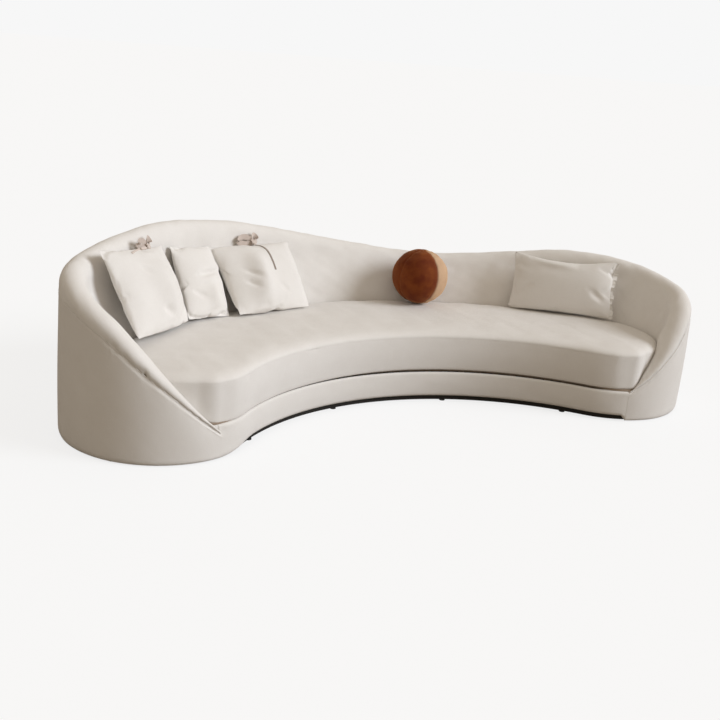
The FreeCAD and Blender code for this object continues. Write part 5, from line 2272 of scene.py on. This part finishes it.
@dataclass
class FrameFinishes:
    """Finishes of the pieces that show as they are in the frame."""

    finishes: Finishes

    def build(self, nodes: dict[str, bpy.types.Object]) -> None:
        """Give each kept piece its finish.

        Args:
            nodes: The frame's pieces by name.
        """
        special = {
            "plinth_back": self.finishes.stain,
            "plinth_front": self.finishes.stain,
            "glides": self.finishes.glide,
            "seat_zip": self.finishes.nylon,
            "splice_plates": self.finishes.steel,
            "frame_screws": self.finishes.steel,
            "front_rail": self.finishes.stain,
        }
        for name, node in nodes.items():
            node.data.materials.clear()
            node.data.materials.append(special.get(name, self.finishes.ply))


# Studio


@dataclass(frozen=True)
class Studio:
    """Floor, light and camera."""

    camera_place: tuple[float, float, float] = (-2.63386, -4.96278, 1.89917)
    yaw: float = 0.4715
    pitch: float = 0.2968
    roll: float = 0.0898
    focal_pixels: float = 1078.29
    frame_pixels: float = 720.0
    sensor: float = 36.0
    pale: Colour = srgb(247, 247, 247)
    shade: Colour = srgb(138, 128, 115)
    ambient: Colour = (1.0, 0.89, 0.75, 1.0)
    ambient_strength: float = 0.53
    key_direction: tuple[float, float, float] = (0.75, -0.52, 0.46)
    key_strength: float = 2.25
    key_tint: tuple[float, float, float] = (0.95, 1.0, 1.08)
    key_width: float = 28.0
    floor_reach: float = 60.0
    floor_glow: float = 0.80
    glow_strength: float = 1.05

    def camera(self) -> None:
        """Camera at the photograph's viewing angle."""
        forward = Vector((
            math.sin(self.yaw) * math.cos(self.pitch),
            math.cos(self.yaw) * math.cos(self.pitch),
            -math.sin(self.pitch),
        ))
        right = Vector((math.cos(self.yaw), -math.sin(self.yaw), 0.0))
        up = right.cross(forward)
        rolled_right = right * math.cos(self.roll) + up * math.sin(self.roll)
        rolled_up = up * math.cos(self.roll) - right * math.sin(self.roll)
        data = bpy.data.cameras.new("camera")
        data.sensor_width = self.sensor
        data.lens = self.focal_pixels / self.frame_pixels * self.sensor
        made = linked("camera", data)
        turn = Matrix((rolled_right, rolled_up, -forward)).transposed().to_4x4()
        made.matrix_world = Matrix.Translation(self.camera_place) @ turn
        bpy.context.scene.camera = made

    def floor(self) -> None:
        """Floor that the camera sees pale, and that throws little light back."""
        mesh = bpy.data.meshes.new("floor")
        reach = self.floor_reach
        corners = [(-reach, -reach, 0), (reach, -reach, 0), (reach, reach, 0), (-reach, reach, 0)]
        mesh.from_pydata(corners, [], [(0, 1, 2, 3)])
        graph = Graph("pale_floor")
        matt = graph.output(graph.node("ShaderNodeBsdfDiffuse", None, {"Color": self.pale}))
        bright = {"Color": self.pale, "Strength": self.glow_strength}
        glow = graph.output(graph.node("ShaderNodeEmission", None, bright))
        dim = graph.output(graph.node("ShaderNodeBsdfDiffuse", None, {"Color": self.shade}))
        pale = graph.output(graph.node("ShaderNodeMixShader", None, {0: self.floor_glow, 1: matt, 2: glow}))
        seen = graph.output(graph.node("ShaderNodeLightPath"))
        either = graph.output(graph.node("ShaderNodeMixShader", None, {0: seen, 1: dim, 2: pale}))
        graph.node("ShaderNodeOutputMaterial", None, {"Surface": either})
        mesh.materials.append(graph.material)
        made = linked("floor", mesh)

    def world(self) -> None:
        """Soft light from all round, and the pale backdrop that the camera sees."""
        world = bpy.data.worlds.new("studio")
        world.use_nodes = True
        tree = world.node_tree
        tree.nodes.clear()
        soft = tree.nodes.new("ShaderNodeBackground")
        soft.inputs["Color"].default_value = self.ambient
        soft.inputs["Strength"].default_value = self.ambient_strength
        backdrop = tree.nodes.new("ShaderNodeBackground")
        backdrop.inputs["Color"].default_value = self.pale
        path = tree.nodes.new("ShaderNodeLightPath")
        either = tree.nodes.new("ShaderNodeMixShader")
        end = tree.nodes.new("ShaderNodeOutputWorld")
        tree.links.new(path.outputs["Is Camera Ray"], either.inputs[0])
        tree.links.new(soft.outputs[0], either.inputs[1])
        tree.links.new(backdrop.outputs[0], either.inputs[2])
        tree.links.new(either.outputs[0], end.inputs["Surface"])
        bpy.context.scene.world = world

    def key_light(self) -> None:
        """Broad even light from the right front."""
        data = bpy.data.lights.new("key", "SUN")
        data.angle = math.radians(self.key_width)
        data.energy = self.key_strength
        data.color = self.key_tint
        made = linked("key", data)
        made.rotation_mode = "QUATERNION"
        made.rotation_quaternion = (-Vector(self.key_direction)).to_track_quat("-Z", "Y")

    def build(self) -> None:
        """Set the studio up."""
        self.camera()
        self.floor()
        self.world()
        self.key_light()
        bpy.context.scene.view_settings.view_transform = "Standard"


# Whole sofa


SCATTER = (
    ScatterCushion(
        "left_cushion", width=0.520, height=0.436, thickness=0.134,
        bearing=-40.8, lean=29.5, swing=-5.5, tilt=-6.5, seed=101,
        creases=(
            Crease((0.03, 0.16), (0.06, -0.20), -0.048, 0.085),
            Crease((-0.04, -0.10), (0.04, -0.15), 0.016, 0.016),
            Crease((-0.10, 0.12), (-0.03, 0.06), 0.007, 0.014),
        ),
        pulls=(Pull(-1, 1, -0.022, 0.010), Pull(1, -1, -0.010, 0.030), Pull(-1, -1, 0.020, -0.004)),
    ),
    ScatterCushion(
        "middle_cushion", width=0.305, height=0.394, thickness=0.107,
        bearing=-28.2, lean=30.0, swing=-2.0, tilt=-6.0, seed=103,
        creases=(
            Crease((-0.05, 0.02), (0.12, 0.045), 0.026, 0.014),
            Crease((0.02, -0.02), (0.05, -0.17), -0.026, 0.045),
            Crease((-0.11, -0.05), (-0.02, -0.10), 0.010, 0.014),
        ),
    ),
    ScatterCushion(
        "tied_cushion", width=0.503, height=0.414, thickness=0.156,
        bearing=-16.4, lean=39.0, swing=0.0, tilt=0.5, seed=107,
        creases=(
            Crease((-0.05, 0.15), (-0.07, -0.19), -0.046, 0.065),
            Crease((-0.15, 0.03), (-0.07, -0.04), 0.016, 0.012),
            Crease((-0.16, -0.03), (-0.09, -0.09), 0.012, 0.011),
            Crease((0.03, -0.06), (0.10, -0.12), 0.007, 0.014),
        ),
        pulls=(
            Pull(-1, 1, -0.021, 0.008), Pull(1, 1, 0.008, -0.008), Pull(1, -1, -0.014, 0.0),
            Pull(-1, -1, 0.015, 0.008),
        ),
    ),
    ScatterCushion(
        "lumbar_cushion", width=0.602, height=0.345, thickness=0.150,
        bearing=38.0, lean=19.0, swing=1.0, tilt=1.0, seed=109,
        creases=(
            Crease((-0.20, 0.12), (0.10, 0.10), -0.016, 0.022),
            Crease((0.16, -0.02), (0.25, -0.08), 0.014, 0.016),
            Crease((-0.24, -0.06), (-0.15, -0.02), 0.008, 0.014),
        ),
        top_sag=0.034, drawn_in=0.055,
    ),
)


LEFT_BOW = (
    Ribbon(
        "left_bow_loop_left",
        ((0.100, 0.214, 0.008), (0.078, 0.238, 0.018), (0.050, 0.244, 0.014), (0.044, 0.228, 0.006),
         (0.070, 0.214, 0.004), (0.100, 0.208, 0.008)),
        (0.0, 0.8, 0.6), 0.026,
    ),
    Ribbon(
        "left_bow_loop_right",
        ((0.100, 0.214, 0.008), (0.112, 0.246, 0.018), (0.134, 0.258, 0.012), (0.152, 0.234, 0.006),
         (0.126, 0.214, 0.004), (0.100, 0.208, 0.008)),
        (0.0, 0.8, 0.6), 0.026,
    ),
    Ribbon(
        "left_bow_knot",
        ((0.099, 0.226, 0.018), (0.101, 0.212, 0.026), (0.100, 0.198, 0.022)),
        (1.0, 0.0, 0.0), 0.022,
    ),
    Ribbon(
        "left_bow_tail",
        ((0.092, 0.200, 0.03), (0.060, 0.203, 0.03), (0.020, 0.200, 0.03), (-0.030, 0.192, 0.03),
         (-0.080, 0.180, 0.03)),
        (0.0, 1.0, 0.0), 0.014, on_face=True,
    ),
)
TIED_BOW = (
    Ribbon(
        "tied_bow_loop_left",
        ((0.008, 0.206, 0.010), (-0.016, 0.234, 0.022), (-0.052, 0.240, 0.020), (-0.076, 0.220, 0.012),
         (-0.044, 0.206, 0.008), (0.008, 0.200, 0.012)),
        (0.0, 0.8, 0.6), 0.030,
    ),
    Ribbon(
        "tied_bow_loop_right",
        ((0.008, 0.206, 0.010), (0.020, 0.240, 0.022), (0.036, 0.246, 0.016), (0.048, 0.224, 0.010),
         (0.030, 0.208, 0.008), (0.008, 0.200, 0.012)),
        (0.0, 0.8, 0.6), 0.030,
    ),
    Ribbon(
        "tied_bow_knot",
        ((0.007, 0.220, 0.022), (0.009, 0.204, 0.030), (0.008, 0.186, 0.028)),
        (1.0, 0.0, 0.0), 0.024,
    ),
)
TIED_TAIL = Ribbon(
    "tied_bow_tail",
    ((-0.004, 0.192, 0.03), (0.016, 0.184, 0.03), (0.038, 0.170, 0.04), (0.048, 0.125, 0.06),
     (0.045, 0.062, 0.07), (0.039, 0.004, 0.08)),
    (1.0, 0.0, 0.0), 0.011, on_face=True,
)


def main() -> None:
    """Build every piece of the sofa round its frame."""
    logging.basicConfig(level=logging.INFO, format="%(name)s: %(message)s")
    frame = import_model()
    plan = CrescentPlan()
    low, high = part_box("seat_cover")
    seat = SeatPlan(plan, low.z, high.z)
    finishes = Finishes()
    Studio().build()
    FrameFinishes(finishes).build(frame["nodes"])
    upholstery = BackUpholstery(plan, RimLine(plan), seat, finishes)
    upholstery.build()
    SeatUpholstery(seat, finishes).build()
    cushions = list(SCATTER)
    swell_cases(cushions, FILL_STEPS)
    for cushion in cushions:
        cushion.build(upholstery, finishes)
    BallCushion(finishes).build(seat)
    left, _, tied, lumbar = cushions
    for ribbon in LEFT_BOW:
        ribbon.build(left, finishes.ribbon)
    for ribbon in TIED_BOW:
        ribbon.build(tied, finishes.ribbon)
    TIED_TAIL.build(tied, finishes.tape)
    Ruffle(1).build(lumbar, finishes.cloth)
    UnderCloths(seat, finishes).build()


if __name__ == "__main__":
    main()
